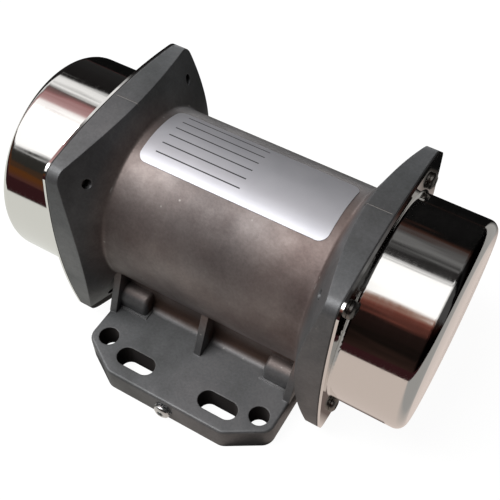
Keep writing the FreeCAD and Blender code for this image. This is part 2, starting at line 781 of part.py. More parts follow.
def make_bearing(name, side):
    start, end, middle = size.bearing_start, bearing_end, bearing_middle
    race = size.ball_radius + size.ball_play
    rings = (("outer", outer_race, size.bearing_outer), ("inner", size.shaft_radius, inner_race))
    for which, low, high in rings:
        body = new_body(f"bearing_{which}_ring_{name}")
        revolve(body, mirror_x([(start, low), (end, low), (end, high), (start, high)], side))
        track = circle(sketch_on(body, "XZ_Plane"), middle * side, size.bearing_pitch, race)
        feature(body, "Groove", track, False, ReferenceAxis=(track, ["H_Axis"]), Angle=360)

    def ball(radius, index):
        item = doc.addObject("Part::Sphere", "ball")
        bind(item, Radius=radius)
        angle = dim(360 * index / BALL_COUNT)
        raise_to_shaft(item, middle * side, size.bearing_pitch * trig("sin", angle),
                       size.bearing_pitch * trig("cos", angle))
        return item

    keep(f"bearing_balls_{name}", group([ball(size.ball_radius, i) for i in range(BALL_COUNT)]))
    blank = ring(size.bearing_pitch + size.cage_wall / 2, size.bearing_pitch - size.cage_wall / 2,
                 size.cage_width, (middle - size.cage_width / 2) * side, side)
    for index in range(BALL_COUNT):
        blank = cut(blank, ball(race, index))
    keep(f"bearing_cage_{name}", blank)
    places = (start + size.seal_inset, end - size.seal_inset - size.seal_thick)
    seals = [ring(outer_race - size.fit_play, inner_race + size.ball_play * 2, size.seal_thick,
                  place * side, side) for place in places]
    keep(f"bearing_seals_{name}", group(seals))


# ---- eccentric weights and what holds them on the shaft ------------------------------------

def weight_blank(name, start, side):
    body = new_body(name)
    flat = size.weight_flat
    wide = chord(size.weight_radius, flat)
    disc = sketch_on(body, "YZ_Plane", start * side)
    outline(disc, [(-wide, -flat), (wide, -flat)], {0: (0, 0)})
    pad(body, disc, size.weight_thick, flip=side < 0)
    hub = circle(sketch_on(body, "YZ_Plane", start * side), 0, 0, size.weight_hub)
    pad(body, hub, size.weight_thick, flip=side < 0)
    return body


def bore_weight(body, start, side):
    bore = circle(sketch_on(body, "YZ_Plane", start * side), 0, 0, weight_bore)
    pocket(body, bore, size.weight_thick, flip=side > 0)


def make_weights(name, side):
    out = "X" if side > 0 else "-X"
    fixed = weight_blank(f"fixed_weight_{name}", fixed_start, side)
    bore_weight(fixed, fixed_start, side)
    keyway = sketch_on(fixed, "YZ_Plane", fixed_start * side)
    wide = size.key_width / 2 + size.fit_play
    key_top = size.shaft_radius - size.key_depth + size.key_height
    rectangle(keyway, -wide, 0, wide, key_top + size.screw_play)
    pocket(fixed, keyway, size.weight_thick, flip=side > 0)
    key = doc.addObject("Part::Box", "key")
    bind(key, Length=size.weight_thick, Width=size.key_width, Height=size.key_height)
    corner = fixed_start if side > 0 else -(fixed_start + size.weight_thick)
    raise_to_shaft(key, corner, -size.key_width / 2, size.shaft_radius - size.key_depth)
    keep(f"weight_key_{name}", key)

    loose = weight_blank(f"adjustable_weight_{name}", loose_start, side)
    ears = sketch_on(loose, "YZ_Plane", loose_start * side)
    rectangle(ears, -size.ear_width / 2, 0, size.ear_width / 2, size.ear_height)
    pad(loose, ears, size.weight_thick, flip=side < 0)
    bore_weight(loose, loose_start, side)
    slit = sketch_on(loose, "YZ_Plane", loose_start * side)
    rectangle(slit, -size.ear_slit / 2, 0, size.ear_slit / 2, size.ear_height + 1)
    pocket(loose, slit, size.weight_thick, flip=side > 0)
    middle = (loose_start + size.weight_thick / 2) * side
    through = circle(sketch_on(loose, "XZ_Plane"), middle, size.clamp_height,
                     size.clamp_radius + size.screw_play)
    pocket(loose, through, size.ear_width + 2, "Symmetric")
    clamp = screw(size.clamp_radius, size.ear_width, size.clamp_head, size.clamp_head_height,
                  middle, -size.ear_width / 2, size.clamp_height, "-Y")
    keep(f"clamp_screw_{name}", clamp)

    bush_bore = size.shaft_radius + size.fit_play
    keep(f"spacer_bush_{name}", ring(size.bush_radius, bush_bore, size.bush_length,
                                     bearing_end * side, side))
    keep(f"weight_shim_{name}", ring(size.shim_radius, bush_bore, size.shim_thick,
                                     (fixed_start + size.weight_thick) * side, side))
    keep(f"weight_washer_{name}", ring(size.shim_radius, bush_bore, size.washer_thick,
                                       washer_start * side, side))
    hoop = ring(size.clip_radius, size.shaft_radius - size.clip_bite + size.fit_play,
                size.clip_thick, clip_start * side, side)
    gap = doc.addObject("Part::Box", "gap")
    bind(gap, Length=size.clip_thick, Width=size.clip_gap, Height=size.clip_radius)
    gap_x = clip_start if side > 0 else -(clip_start + size.clip_thick)
    raise_to_shaft(gap, gap_x, -size.clip_gap / 2, 0)
    keep(f"retaining_ring_{name}", cut(hoop, gap))
    return out


# ---- end covers ----------------------------------------------------------------------------

def make_cover(name, side):
    gasket = new_body(f"cover_gasket_{name}")
    sheet_plan = bowed_square(sketch_on(gasket, "YZ_Plane", size.flange_face * side))
    circle(sheet_plan, 0, 0, size.recess_radius + size.gasket_thick)
    for y, z in four_corners(size.screw_pitch):
        circle(sheet_plan, y, z, screw_hole)
    pad(gasket, sheet_plan, size.gasket_thick, flip=side < 0)
    round_edges(gasket, size.flange_round, corner_edges(size.flange_face, cover_back))

    body = new_body(f"end_cover_{name}")
    plate = bowed_square(sketch_on(body, "YZ_Plane", cover_back * side))
    pad(body, plate, size.cover_wall, flip=side < 0)
    round_edges(body, size.flange_round, corner_edges(cover_back, cover_face))
    revolve(body, mirror_x([(cover_back, 0), (size.cover_end, 0), (size.cover_end, size.cover_radius),
                            (cover_back, size.cover_radius)], side))
    inside = size.cover_radius - size.cover_wall
    inner_end = size.cover_end - size.cover_wall
    revolve(body, mirror_x([(cover_back - 1, 0), (inner_end, 0), (inner_end, inside),
                            (cover_back - 1, inside)], side), "Groove")
    outside = size.cover_radius.value
    rounds = ((size.cover_round - size.cover_wall, inner_end.value, inside.value),
              (size.cover_round, size.cover_end.value, outside),
              (size.cover_hem, cover_face.value, outside))
    for radius, x, edge_radius in rounds:
        round_edges(body, radius, lambda edge: is_circle(edge, x * side, edge_radius))
    holes = sketch_on(body, "YZ_Plane", cover_face * side)
    for y, z in four_corners(size.screw_pitch):
        circle(holes, y, z, screw_hole)
    pocket(body, holes, size.cover_wall, flip=side < 0)
    screws = [screw(size.screw_radius, size.screw_length, size.head_radius, size.head_height,
                    cover_face * side, y, z, "X" if side > 0 else "-X")
              for y, z in four_corners(size.screw_pitch)]
    keep(f"cover_screws_{name}", group(screws))


# ---- cable gland, earth screw and rating plate ---------------------------------------------

def make_gland():
    x, z = size.gland_place, gland_z
    seat = size.gland_seat
    tube = size.gland_thread - size.tube_wall / 2
    bore = tube - size.tube_wall
    collar_end = seat + size.gland_collar
    tube_length = size.nut_length - size.tube_wall * 2
    solid = fuse([rod(size.gland_thread, size.gland_grip, x, seat, z, "-Y"),
                  hexagon(size.gland_hex, size.gland_collar, x, seat, z, "Y"),
                  rod(tube, tube_length, x, collar_end, z, "Y")])
    hole = rod(bore, size.gland_grip + size.gland_collar + tube_length, x, seat - size.gland_grip, z,
               "Y")
    keep("gland_body", cut(solid, hole))
    seal_length = tube_length
    seal = cut(rod(bore - size.fit_play, seal_length, x, collar_end, z, "Y"),
               rod(size.cable_radius, seal_length, x, collar_end, z, "Y"))
    keep("gland_seal", seal)
    cavity = rod(tube + size.fit_play, size.nut_length - size.tube_wall, x, nut_start, z, "Y")
    dome = doc.addObject("Part::Cone", "dome")
    grow = size.nut_flats / 2
    bind(dome, Radius1=grow + size.tube_wall * 1.5, Radius2=grow - size.tube_wall,
         Height=size.nut_length)
    dome.Placement = FreeCAD.Placement(FreeCAD.Vector(), TURN["Y"])
    raise_to_shaft(dome, x, nut_start, z)
    blank = doc.addObject("Part::MultiCommon", "blank")
    blank.Shapes = [hexagon(size.nut_flats, size.nut_length, x, nut_start, z, "Y"), dome]
    mouth = rod(size.nut_mouth, size.nut_length, x, nut_start, z, "Y")
    keep("gland_nut", cut(cut(blank, cavity), mouth))


def make_earth_screw():
    face = -size.foot_width / 2
    z = foot_plane + size.earth_height
    washer = cut(rod(size.lock_radius, size.lock_thick, 0, face, z, "-Y"),
                 rod(screw_hole, size.lock_thick, 0, face, z, "-Y"))
    keep("earth_washer", washer)
    keep("earth_screw", screw(size.screw_radius, size.earth_length, size.head_radius,
                              size.head_height, 0, face - size.lock_thick, z, "-Y"))


def make_label():
    # Thin plate wrapped round the top of the barrel, with rounded corners.
    shell = ring(size.body_radius + size.label_thick, size.body_radius, size.label_length,
                 -size.label_length / 2)
    plan = doc.addObject("Part::Box", "plan")
    bind(plan, Length=size.label_length, Width=size.label_near + size.label_far,
         Height=size.body_radius + 1)
    raise_to_shaft(plan, -size.label_length / 2, -size.label_near, 0)
    doc.recompute()
    soft = doc.addObject("Part::Fillet", "soft_plan")
    soft.Base = plan
    upright = [i for i, edge in enumerate(plan.Shape.Edges, 1) if edge.BoundBox.ZLength > 1]
    soft.Edges = [(i, size.label_round.value, size.label_round.value) for i in upright]
    plate = doc.addObject("Part::MultiCommon", "plate")
    plate.Shapes = [shell, soft]
    keep("rating_label", plate)


# ---- build, check and write ----------------------------------------------------------------

make_housing()
make_stator()
make_rotor()
for side_name, side_sign in SIDES:
    make_shield(side_name, side_sign)
    make_bearing(side_name, side_sign)
    make_weights(side_name, side_sign)
    make_cover(side_name, side_sign)
make_gland()
make_earth_screw()
make_label()
doc.recompute()

for thing in doc.Objects:
    if "Invalid" in thing.State or "Error" in thing.State:
        raise RuntimeError(f"{thing.Label} failed: {thing.State}")
for name, thing in nodes.items():
    if thing.Shape.isNull() or not thing.Shape.isValid() or not thing.Shape.Solids:
        raise RuntimeError(f"{name} has no sound shape")

os.makedirs("parts", exist_ok=True)
for name, thing in nodes.items():
    thing.Shape.exportStep(f"parts/{name}.step")
    print(f"{name}: {len(thing.Shape.Solids)} solid(s), {thing.Shape.Volume:.0f} mm3")
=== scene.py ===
import math
import bmesh
import bpy
from mathutils import Matrix, Vector


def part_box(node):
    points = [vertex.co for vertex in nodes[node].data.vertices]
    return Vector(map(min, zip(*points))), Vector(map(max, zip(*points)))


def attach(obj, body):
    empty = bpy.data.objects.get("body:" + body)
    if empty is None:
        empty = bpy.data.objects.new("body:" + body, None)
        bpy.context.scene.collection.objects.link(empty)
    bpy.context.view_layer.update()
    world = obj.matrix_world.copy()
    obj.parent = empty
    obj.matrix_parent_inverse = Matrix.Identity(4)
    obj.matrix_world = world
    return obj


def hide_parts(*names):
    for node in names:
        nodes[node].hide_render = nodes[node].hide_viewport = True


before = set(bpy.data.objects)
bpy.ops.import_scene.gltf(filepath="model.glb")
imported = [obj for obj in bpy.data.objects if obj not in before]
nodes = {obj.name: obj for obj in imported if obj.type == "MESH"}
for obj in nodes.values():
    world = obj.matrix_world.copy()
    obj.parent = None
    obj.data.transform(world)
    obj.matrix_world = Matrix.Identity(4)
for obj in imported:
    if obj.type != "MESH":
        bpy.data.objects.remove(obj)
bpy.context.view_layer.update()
shaftHeight = (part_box("shaft")[0][2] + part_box("shaft")[1][2]) / 2
mm = 0.001
footHalf = 36.2 * mm  # half the foot's length along the shaft
footTop = 10 * mm  # the foot plate stands on z 0
print("frame loaded:", len(nodes), "nodes")


# small helpers

def linear(hexColour):  # sRGB hex to linear RGBA
    channels = [int(hexColour[i:i + 2], 16) / 255 for i in (1, 3, 5)]
    return [c / 12.92 if c <= 0.04045 else ((c + 0.055) / 1.055) ** 2.4 for c in channels] + [1]


def addNode(tree, kind, inputs=None, **settings):  # works for shader and geometry trees
    node = tree.nodes.new(kind)
    for key, value in settings.items():
        setattr(node, key, value)
    for key, value in (inputs or {}).items():
        if isinstance(value, bpy.types.NodeSocket):
            tree.links.new(value, node.inputs[key])
        else:
            node.inputs[key].default_value = value
    return node


def setStops(ramp, stops):  # stops are (place, hex colour)
    elements = ramp.color_ramp.elements
    while len(elements) < len(stops):
        elements.new(1)
    for element, (place, colour) in zip(elements, stops):
        element.position = place
        element.color = linear(colour)


def blendColours(tree, factor, first, second):
    return addNode(tree, "ShaderNodeMix", {0: factor, 6: first, 7: second}, data_type="RGBA").outputs[2]


def newMaterial(name):
    material = bpy.data.materials.new(name)
    material.use_nodes = True
    tree = material.node_tree
    tree.nodes.clear()
    place = addNode(tree, "ShaderNodeTexCoord").outputs["Object"]
    return material, tree, place


def finishMaterial(tree, **surface):
    names = {"colour": "Base Color", "metallic": "Metallic", "roughness": "Roughness", "normal": "Normal",
             "coat": "Coat Weight", "coatRoughness": "Coat Roughness"}
    values = {names[key]: value for key, value in surface.items()}
    shader = addNode(tree, "ShaderNodeBsdfPrincipled", values)
    addNode(tree, "ShaderNodeOutputMaterial", {"Surface": shader.outputs[0]})


def patternScale(size):  # a noise or cell texture's scale for a size in mm
    return 1000 / size


def waveScale(pitch):  # a wave texture's scale for a pitch in mm: it repeats every tau / 20
    return 1000 * math.tau / (20 * pitch)


# materials, each named for what the real one is and how its surface was made

castLook = {"dark": "#545758", "middle": "#606365", "light": "#6c6e70", "warmDark": "#655551",
            "warmLight": "#877a75", "root": "#5e483d", "speck": "#a39f9a", "edgeWearAndHighlight": "#989593",
            "recessShade": "#1b1918", "bore": "#4c4847"}
castSize = {"mottle": 24.0, "warmPatch": 55.56, "grain": 0.9, "speck": 3.333, "wearAndHighlightReach": 0.7, "recess": 5.0,
            "hole": 14.0, "edge": 0.45, "warmInside": 31.5, "warmOutside": 37.5, "rearFade": 16.0,
            "rootInside": 27.2, "rootOutside": 28.4, "rootLow": 14.5, "rootHigh": 18.5}  # mm


def castAluminium():
    # Bare pressure-cast aluminium: dull grey, browner in patches on the barrel, most on its front half,
    # with a fine sandy skin and a few pale specks. Painted light and shade: a darker brown band where the
    # barrel meets the foot, partly tone and partly painted shade over the highlight there; outer edges
    # lighter, partly worn and partly a painted highlight; painted shade in the recesses and on the walls
    # of the foot's holes.
    material, tree, place = newMaterial("castAluminium")
    mottle = addNode(tree, "ShaderNodeTexNoise", {"Vector": place, "Detail": 6.0, "Roughness": 0.62,
                                                  "Scale": patternScale(castSize["mottle"])})
    cool = addNode(tree, "ShaderNodeValToRGB", {"Fac": mottle.outputs["Fac"]})
    setStops(cool, [(0.34, castLook["dark"]), (0.50, castLook["middle"]), (0.68, castLook["light"])])
    warm = addNode(tree, "ShaderNodeValToRGB", {"Fac": mottle.outputs["Fac"]})
    setStops(warm, [(0.36, castLook["warmDark"]), (0.66, castLook["warmLight"])])
    parts = addNode(tree, "ShaderNodeSeparateXYZ", {"Vector": place})
    height = addNode(tree, "ShaderNodeMath", {0: parts.outputs["Z"], 1: shaftHeight}, operation="SUBTRACT")
    offAxis = addNode(tree, "ShaderNodeCombineXYZ", {1: parts.outputs["Y"], 2: height.outputs[0]})
    radius = addNode(tree, "ShaderNodeVectorMath", {0: offAxis.outputs[0]}, operation="LENGTH")
    # browner in patches near the barrel, most on its front half and less towards the rear
    warmPatch = addNode(tree, "ShaderNodeTexNoise", {"Vector": place, "Scale": patternScale(castSize["warmPatch"]),
                                                "Detail": 3.0})
    patchy = addNode(tree, "ShaderNodeMapRange", {"Value": warmPatch.outputs["Fac"], 1: 0.35, 2: 0.62, 3: 0.55})
    nearBarrel = addNode(tree, "ShaderNodeMapRange", {"Value": radius.outputs["Value"],
                                                      1: castSize["warmInside"] * mm,
                                                      2: castSize["warmOutside"] * mm, 3: 1.0, 4: 0.12})
    frontHalf = addNode(tree, "ShaderNodeMapRange", {"Value": parts.outputs["Y"], 1: 0.0,
                                                     2: castSize["rearFade"] * mm, 3: 1.0, 4: 0.35})
    frontBarrel = addNode(tree, "ShaderNodeMath", {0: nearBarrel.outputs[0], 1: frontHalf.outputs[0]},
                          operation="MULTIPLY")
    warmth = addNode(tree, "ShaderNodeMath", {0: patchy.outputs[0], 1: frontBarrel.outputs[0]},
                     operation="MULTIPLY")
    # painted shade, partly tone: below the barrel, where it meets the foot, a band is painted darker brown,
    # which dims the highlight on the fillet
    sideways = addNode(tree, "ShaderNodeMath", {0: parts.outputs["Y"]}, operation="ABSOLUTE")
    rootWidth = addNode(tree, "ShaderNodeMapRange", {"Value": sideways.outputs[0],
                                                     1: castSize["rootInside"] * mm,
                                                     2: castSize["rootOutside"] * mm, 3: 0.85, 4: 0.0})
    aboveFoot = addNode(tree, "ShaderNodeMapRange", {"Value": parts.outputs["Z"], 1: footTop,
                                                     2: footTop + 1.5 * mm})
    rootHeight = addNode(tree, "ShaderNodeMapRange", {"Value": parts.outputs["Z"],
                                                      1: castSize["rootLow"] * mm,
                                                      2: castSize["rootHigh"] * mm, 3: 1.0, 4: 0.0})
    rootBand = addNode(tree, "ShaderNodeMath", {0: rootWidth.outputs[0], 1: aboveFoot.outputs[0]},
                       operation="MULTIPLY")
    root = addNode(tree, "ShaderNodeMath", {0: rootBand.outputs[0], 1: rootHeight.outputs[0]},
                   operation="MULTIPLY")
    tint = blendColours(tree, warmth.outputs[0], cool.outputs["Color"], warm.outputs["Color"])
    tint = blendColours(tree, root.outputs[0], tint, linear(castLook["root"]))
    grain = addNode(tree, "ShaderNodeTexNoise", {"Vector": place, "Scale": patternScale(castSize["grain"]),
                                                 "Detail": 3.0, "Roughness": 0.6})
    grit = addNode(tree, "ShaderNodeMapRange", {"Value": grain.outputs["Fac"], 1: 0.3, 2: 0.7, 3: 0.88,
                                                4: 1.08})
    sandy = addNode(tree, "ShaderNodeVectorMath", {0: tint, "Scale": grit.outputs[0]}, operation="SCALE")
    specks = addNode(tree, "ShaderNodeTexVoronoi", {"Vector": place,
                                                    "Scale": patternScale(castSize["speck"])})
    speckSize = addNode(tree, "ShaderNodeMapRange", {"Value": specks.outputs["Distance"], 1: 0.05, 2: 0.14,
                                                     3: 0.7, 4: 0.0})
    speckPick = addNode(tree, "ShaderNodeMapRange", {"Value": specks.outputs["Color"], 1: 0.80, 2: 0.86})
    speck = addNode(tree, "ShaderNodeMath", {0: speckSize.outputs[0], 1: speckPick.outputs[0]},
                    operation="MULTIPLY")
    speckled = blendColours(tree, speck.outputs[0], sandy.outputs[0], linear(castLook["speck"]))
    # outer edges lightened, partly worn and partly a painted highlight
    outside = addNode(tree, "ShaderNodeAmbientOcclusion", {"Distance": castSize["wearAndHighlightReach"] * mm}, samples=6,
                      inside=True, only_local=True)
    edgeWearAndHighlight = addNode(tree, "ShaderNodeMapRange", {"Value": outside.outputs["AO"], 1: 0.62, 2: 0.30, 4: 0.5})
    wornAndHighlighted = blendColours(tree, edgeWearAndHighlight.outputs[0], speckled, linear(castLook["edgeWearAndHighlight"]))
    # painted shade: the recesses that ambient occlusion finds are darkened
    shelter = addNode(tree, "ShaderNodeAmbientOcclusion", {"Distance": castSize["recess"] * mm}, samples=8,
                      only_local=True)
    recessShadeAmount = addNode(tree, "ShaderNodeMapRange", {"Value": shelter.outputs["AO"], 1: 0.62, 2: 0.22, 4: 0.85})
    recessShaded = blendColours(tree, recessShadeAmount.outputs[0], wornAndHighlighted, linear(castLook["recessShade"]))
    # painted shade: deep in the foot's holes the walls are darkened
    deep = addNode(tree, "ShaderNodeAmbientOcclusion", {"Distance": castSize["hole"] * mm}, samples=8,
                   only_local=True)
    closed = addNode(tree, "ShaderNodeMapRange", {"Value": deep.outputs["AO"], 1: 0.85, 2: 0.55, 4: 0.98})
    inFoot = addNode(tree, "ShaderNodeMapRange", {"Value": parts.outputs["Z"], 1: footTop - 0.7 * mm,
                                                  2: footTop - 0.1 * mm, 3: 1.0, 4: 0.0})
    holeShade = addNode(tree, "ShaderNodeMath", {0: closed.outputs[0], 1: inFoot.outputs[0]},
                       operation="MULTIPLY")
    colour = blendColours(tree, holeShade.outputs[0], recessShaded, linear(castLook["bore"]))
    sheen = addNode(tree, "ShaderNodeMapRange", {"Value": mottle.outputs["Fac"], 1: 0.3, 2: 0.7, 3: 0.56,
                                                 4: 0.46})
    soft = addNode(tree, "ShaderNodeBevel", {"Radius": castSize["edge"] * mm}, samples=6)
    skin = addNode(tree, "ShaderNodeBump", {"Strength": 0.28, "Distance": 0.10 * mm,
                                            "Height": grain.outputs["Fac"], "Normal": soft.outputs[0]})
    ripple = addNode(tree, "ShaderNodeBump", {"Strength": 0.30, "Distance": 0.5 * mm,
                                              "Height": mottle.outputs["Fac"], "Normal": skin.outputs[0]})
    # the painted shade in the holes also makes them fully metallic and rough, so that they render darker
    metal = addNode(tree, "ShaderNodeMapRange", {"Value": holeShade.outputs[0], 3: 0.6, 4: 1.0})
    rough = addNode(tree, "ShaderNodeMath", {0: sheen.outputs[0], 1: holeShade.outputs[0]},
                    operation="MAXIMUM")
    finishMaterial(tree, colour=colour, metallic=metal.outputs[0], roughness=rough.outputs[0],
                   normal=ripple.outputs[0])
    return material


coverLook = {"colour": "#dddbd8", "roughness": 0.05, "wave": 18.18, "lineStep": 1.111,
             "lineLength": 40.0}  # last three in mm


def polishedStainless():
    # Deep-drawn 304 sheet, buffed to a mirror: the sheet's slight waviness bends what it
    # reflects, and the buffing leaves faint lines round the cup, drawn 1.1 mm apart so that they show.
    material, tree, place = newMaterial("polishedStainless")
    wave = addNode(tree, "ShaderNodeTexNoise", {"Vector": place, "Scale": patternScale(coverLook["wave"]),
                                                "Detail": 1.0})
    across, around = patternScale(coverLook["lineStep"]), patternScale(coverLook["lineLength"])
    stretch = addNode(tree, "ShaderNodeMapping", {"Vector": place, "Scale": (across, around, around)})
    lines = addNode(tree, "ShaderNodeTexNoise", {"Vector": stretch.outputs[0], "Scale": 1.0, "Detail": 2.0})
    waviness = addNode(tree, "ShaderNodeBump", {"Strength": 0.5, "Distance": 0.12 * mm,
                                                "Height": wave.outputs["Fac"]})
    buffing = addNode(tree, "ShaderNodeBump", {"Strength": 0.10, "Distance": 0.01 * mm,
                                               "Height": lines.outputs["Fac"],
                                               "Normal": waviness.outputs[0]})
    haze = addNode(tree, "ShaderNodeMapRange", {"Value": lines.outputs["Fac"], 1: 0.3, 2: 0.8,
                                                3: coverLook["roughness"], 4: coverLook["roughness"] * 2})
    finishMaterial(tree, colour=linear(coverLook["colour"]), metallic=1.0, roughness=haze.outputs[0],
                   normal=buffing.outputs[0])
    return material


markLength = 16.67  # mm, how long a turning or grinding mark stays even


def plainMetal(name, colour, roughness, grainSize, depth=0.02, spread=0.12, axis=None):
    # A turned, ground, plated or cast metal with fine marks, grainSize and depth in mm. The marks run
    # round the axis where one is given.
    material, tree, place = newMaterial(name)
    grainScale = patternScale(grainSize)
    if axis is not None:
        scale = [patternScale(markLength)] * 3
        scale[axis] = grainScale
        place = addNode(tree, "ShaderNodeMapping", {"Vector": place, "Scale": scale}).outputs[0]
        grainScale = 1.0
    marks = addNode(tree, "ShaderNodeTexNoise", {"Vector": place, "Detail": 3.0, "Scale": grainScale})
    shadow = [c * 0.72 for c in linear(colour)[:3]] + [1]
    shade = blendColours(tree, marks.outputs["Fac"], shadow, linear(colour))
    rough = addNode(tree, "ShaderNodeMapRange", {"Value": marks.outputs["Fac"], 1: 0.3, 2: 0.7,
                                                 3: roughness, 4: roughness + spread})
    bump = addNode(tree, "ShaderNodeBump", {"Strength": 0.4, "Distance": depth * mm,
                                            "Height": marks.outputs["Fac"]})
    finishMaterial(tree, colour=shade, metallic=1.0, roughness=rough.outputs[0], normal=bump.outputs[0])
    return material


def plainPlastic(name, colour, roughness, grainSize, depth=0.02):
    # Moulded polymer or rubber: even colour with a fine spark-eroded texture.
    material, tree, place = newMaterial(name)
    grain = addNode(tree, "ShaderNodeTexNoise", {"Vector": place, "Scale": patternScale(grainSize),
                                                 "Detail": 4.0})
    bright = [min(1, c * 1.6 + 0.004) for c in linear(colour)[:3]] + [1]
    shade = blendColours(tree, grain.outputs["Fac"], linear(colour), bright)
    bump = addNode(tree, "ShaderNodeBump", {"Strength": 0.5, "Distance": depth * mm,
                                            "Height": grain.outputs["Fac"]})
    finishMaterial(tree, colour=shade, roughness=roughness, normal=bump.outputs[0])
    return material


def lamination():
    # Blued electrical steel punched 0.5 mm thick, so a stack shows fine light and dark lines. Two sheets
    # are drawn 1.97 mm thick so that they show.
    material, tree, place = newMaterial("laminationSteel")
    sheets = addNode(tree, "ShaderNodeTexWave", {"Vector": place, "Scale": waveScale(1.973),
                                                 "Distortion": 0.3})
    tone = addNode(tree, "ShaderNodeValToRGB", {"Fac": sheets.outputs["Fac"]})
    setStops(tone, [(0.1, "#3c3d42"), (0.6, "#6e7078")])
    bump = addNode(tree, "ShaderNodeBump", {"Strength": 0.6, "Distance": 0.1 * mm,
                                            "Height": sheets.outputs["Fac"]})
    finishMaterial(tree, colour=tone.outputs["Color"], metallic=1.0, roughness=0.42, normal=bump.outputs[0])
    return material


def windingWire():
    # Enamelled copper wire, 0.4 mm, varnished in place: amber brown with a soft gloss. The wires are
    # drawn 0.785 mm apart so that they show.
    material, tree, place = newMaterial("enamelledCopper")
    wires = addNode(tree, "ShaderNodeTexWave", {"Vector": place, "Scale": waveScale(0.7854),
                                                "Distortion": 4.0, "Detail": 2.0, "Detail Scale": 0.4},
                    wave_type="RINGS", rings_direction="X")
    tone = addNode(tree, "ShaderNodeValToRGB", {"Fac": wires.outputs["Fac"]})
    setStops(tone, [(0.15, "#4a1d0c"), (0.6, "#a8552c"), (1.0, "#cf8350")])
    bump = addNode(tree, "ShaderNodeBump", {"Strength": 0.8, "Distance": 0.2 * mm,
                                            "Height": wires.outputs["Fac"]})
    finishMaterial(tree, colour=tone.outputs["Color"], metallic=0.6, roughness=0.35,
                   normal=bump.outputs[0], coat=0.5, coatRoughness=0.15)
    return material


labelLook = {"foil": "#b0b1b7", "foilPale": "#c5c5ca", "ink": "#1d1d21", "metallic": 0.55,
             "roughness": 0.42, "lines": 6, "lineStep": 3.75, "firstLine": -7.3, "lineHalf": 0.17,
             "left": -28.2, "right": 1.7, "dust": 11.11}  # sizes in mm, lines run along the barrel


def ratingFoil():
    # Satin silver polyester foil, a little cloudy, bare but for plain black rules at its left.
    material, tree, place = newMaterial("ratingFoil")
    parts = addNode(tree, "ShaderNodeSeparateXYZ", {"Vector": place})
    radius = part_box("rating_label")[1][2] - shaftHeight
    height = addNode(tree, "ShaderNodeMath", {0: parts.outputs["Z"], 1: shaftHeight}, operation="SUBTRACT")
    angle = addNode(tree, "ShaderNodeMath", {0: parts.outputs["Y"], 1: height.outputs[0]},
                    operation="ARCTAN2")
    step = addNode(tree, "ShaderNodeMath", {0: angle.outputs[0], 1: radius / (labelLook["lineStep"] * mm),
                                            2: -labelLook["firstLine"] / labelLook["lineStep"]},
                   operation="MULTIPLY_ADD")
    index = addNode(tree, "ShaderNodeMath", {0: step.outputs[0]}, operation="ROUND")
    off = addNode(tree, "ShaderNodeMath", {0: step.outputs[0], 1: index.outputs[0]}, operation="SUBTRACT")
    away = addNode(tree, "ShaderNodeMath", {0: off.outputs[0]}, operation="ABSOLUTE")
    half = labelLook["lineHalf"] / labelLook["lineStep"]
    onLine = addNode(tree, "ShaderNodeMapRange", {"Value": away.outputs[0], 1: half, 2: half * 1.5, 3: 1.0,
                                                  4: 0.0})
    wanted = addNode(tree, "ShaderNodeMath", {0: index.outputs[0], 1: (labelLook["lines"] - 1) / 2,
                                              2: labelLook["lines"] / 2 - 0.1}, operation="COMPARE")
    middle = (labelLook["left"] + labelLook["right"]) / 2
    along = addNode(tree, "ShaderNodeMath", {0: parts.outputs["X"], 1: middle * mm,
                                             2: (labelLook["right"] - labelLook["left"]) / 2 * mm},
                    operation="COMPARE")
    ink = addNode(tree, "ShaderNodeMath", {0: onLine.outputs[0], 1: wanted.outputs[0]},
                  operation="MULTIPLY")
    ruled = addNode(tree, "ShaderNodeMath", {0: ink.outputs[0], 1: along.outputs[0]}, operation="MULTIPLY")
    dust = addNode(tree, "ShaderNodeTexNoise", {"Vector": place, "Scale": patternScale(labelLook["dust"]),
                                                "Detail": 5.0})
    foil = blendColours(tree, dust.outputs["Fac"], linear(labelLook["foil"]), linear(labelLook["foilPale"]))
    colour = blendColours(tree, ruled.outputs[0], foil, linear(labelLook["ink"]))
    notInk = addNode(tree, "ShaderNodeMapRange", {"Value": ruled.outputs[0], 3: labelLook["metallic"],
                                                  4: 0.0})
    finishMaterial(tree, colour=colour, metallic=notInk.outputs[0], roughness=labelLook["roughness"])
    return material


finishes = {
    "cast": castAluminium(),
    "cover": polishedStainless(),
    "turned": plainMetal("turnedAluminium", "#b9bbbd", 0.32, 0.6, axis=0),  # pale, fine rings off the lathe
    "lamination": lamination(),
    "winding": windingWire(),
    "ground": plainMetal("groundSteel", "#b7b7ba", 0.22, 0.4, axis=0),  # close rings, a sharp sheen
    "bearing": plainMetal("bearingSteel", "#c8c9cc", 0.10, 3.0, depth=0.004, spread=0.05),  # near mirror
    "weight": plainMetal("yellowZincSteel", "#a89a6c", 0.34, 1.6),  # cut plate, straw-yellow plating
    "zinc": plainMetal("zincPlatedSteel", "#a9abad", 0.30, 0.8),  # cool grey, slightly cloudy
    "spring": plainMetal("blackSpringSteel", "#34343a", 0.38, 1.0),  # blued black, dull gloss
    "screw": plainMetal("stainlessScrew", "#86837f", 0.32, 1.2, depth=0.01),  # handled, dulled steel
    "bright": plainMetal("brightStainlessScrew", "#d6d8d8", 0.16, 1.2, depth=0.006),  # newer and shinier
    "bead": plainMetal("castingEdge", "#7b7977", 0.6, 0.8, depth=0.03),  # dull cast line, a little pale
    "cage": plainPlastic("polyamideCage", "#4b2c17", 0.45, 0.5),  # brown, satin
    "rubber": plainPlastic("nitrileRubber", "#141415", 0.55, 0.3),  # black, matt
    "gland": plainPlastic("glandPolyamide", "#17181a", 0.42, 0.35),  # black with a fine grain
    "foil": ratingFoil(),
}
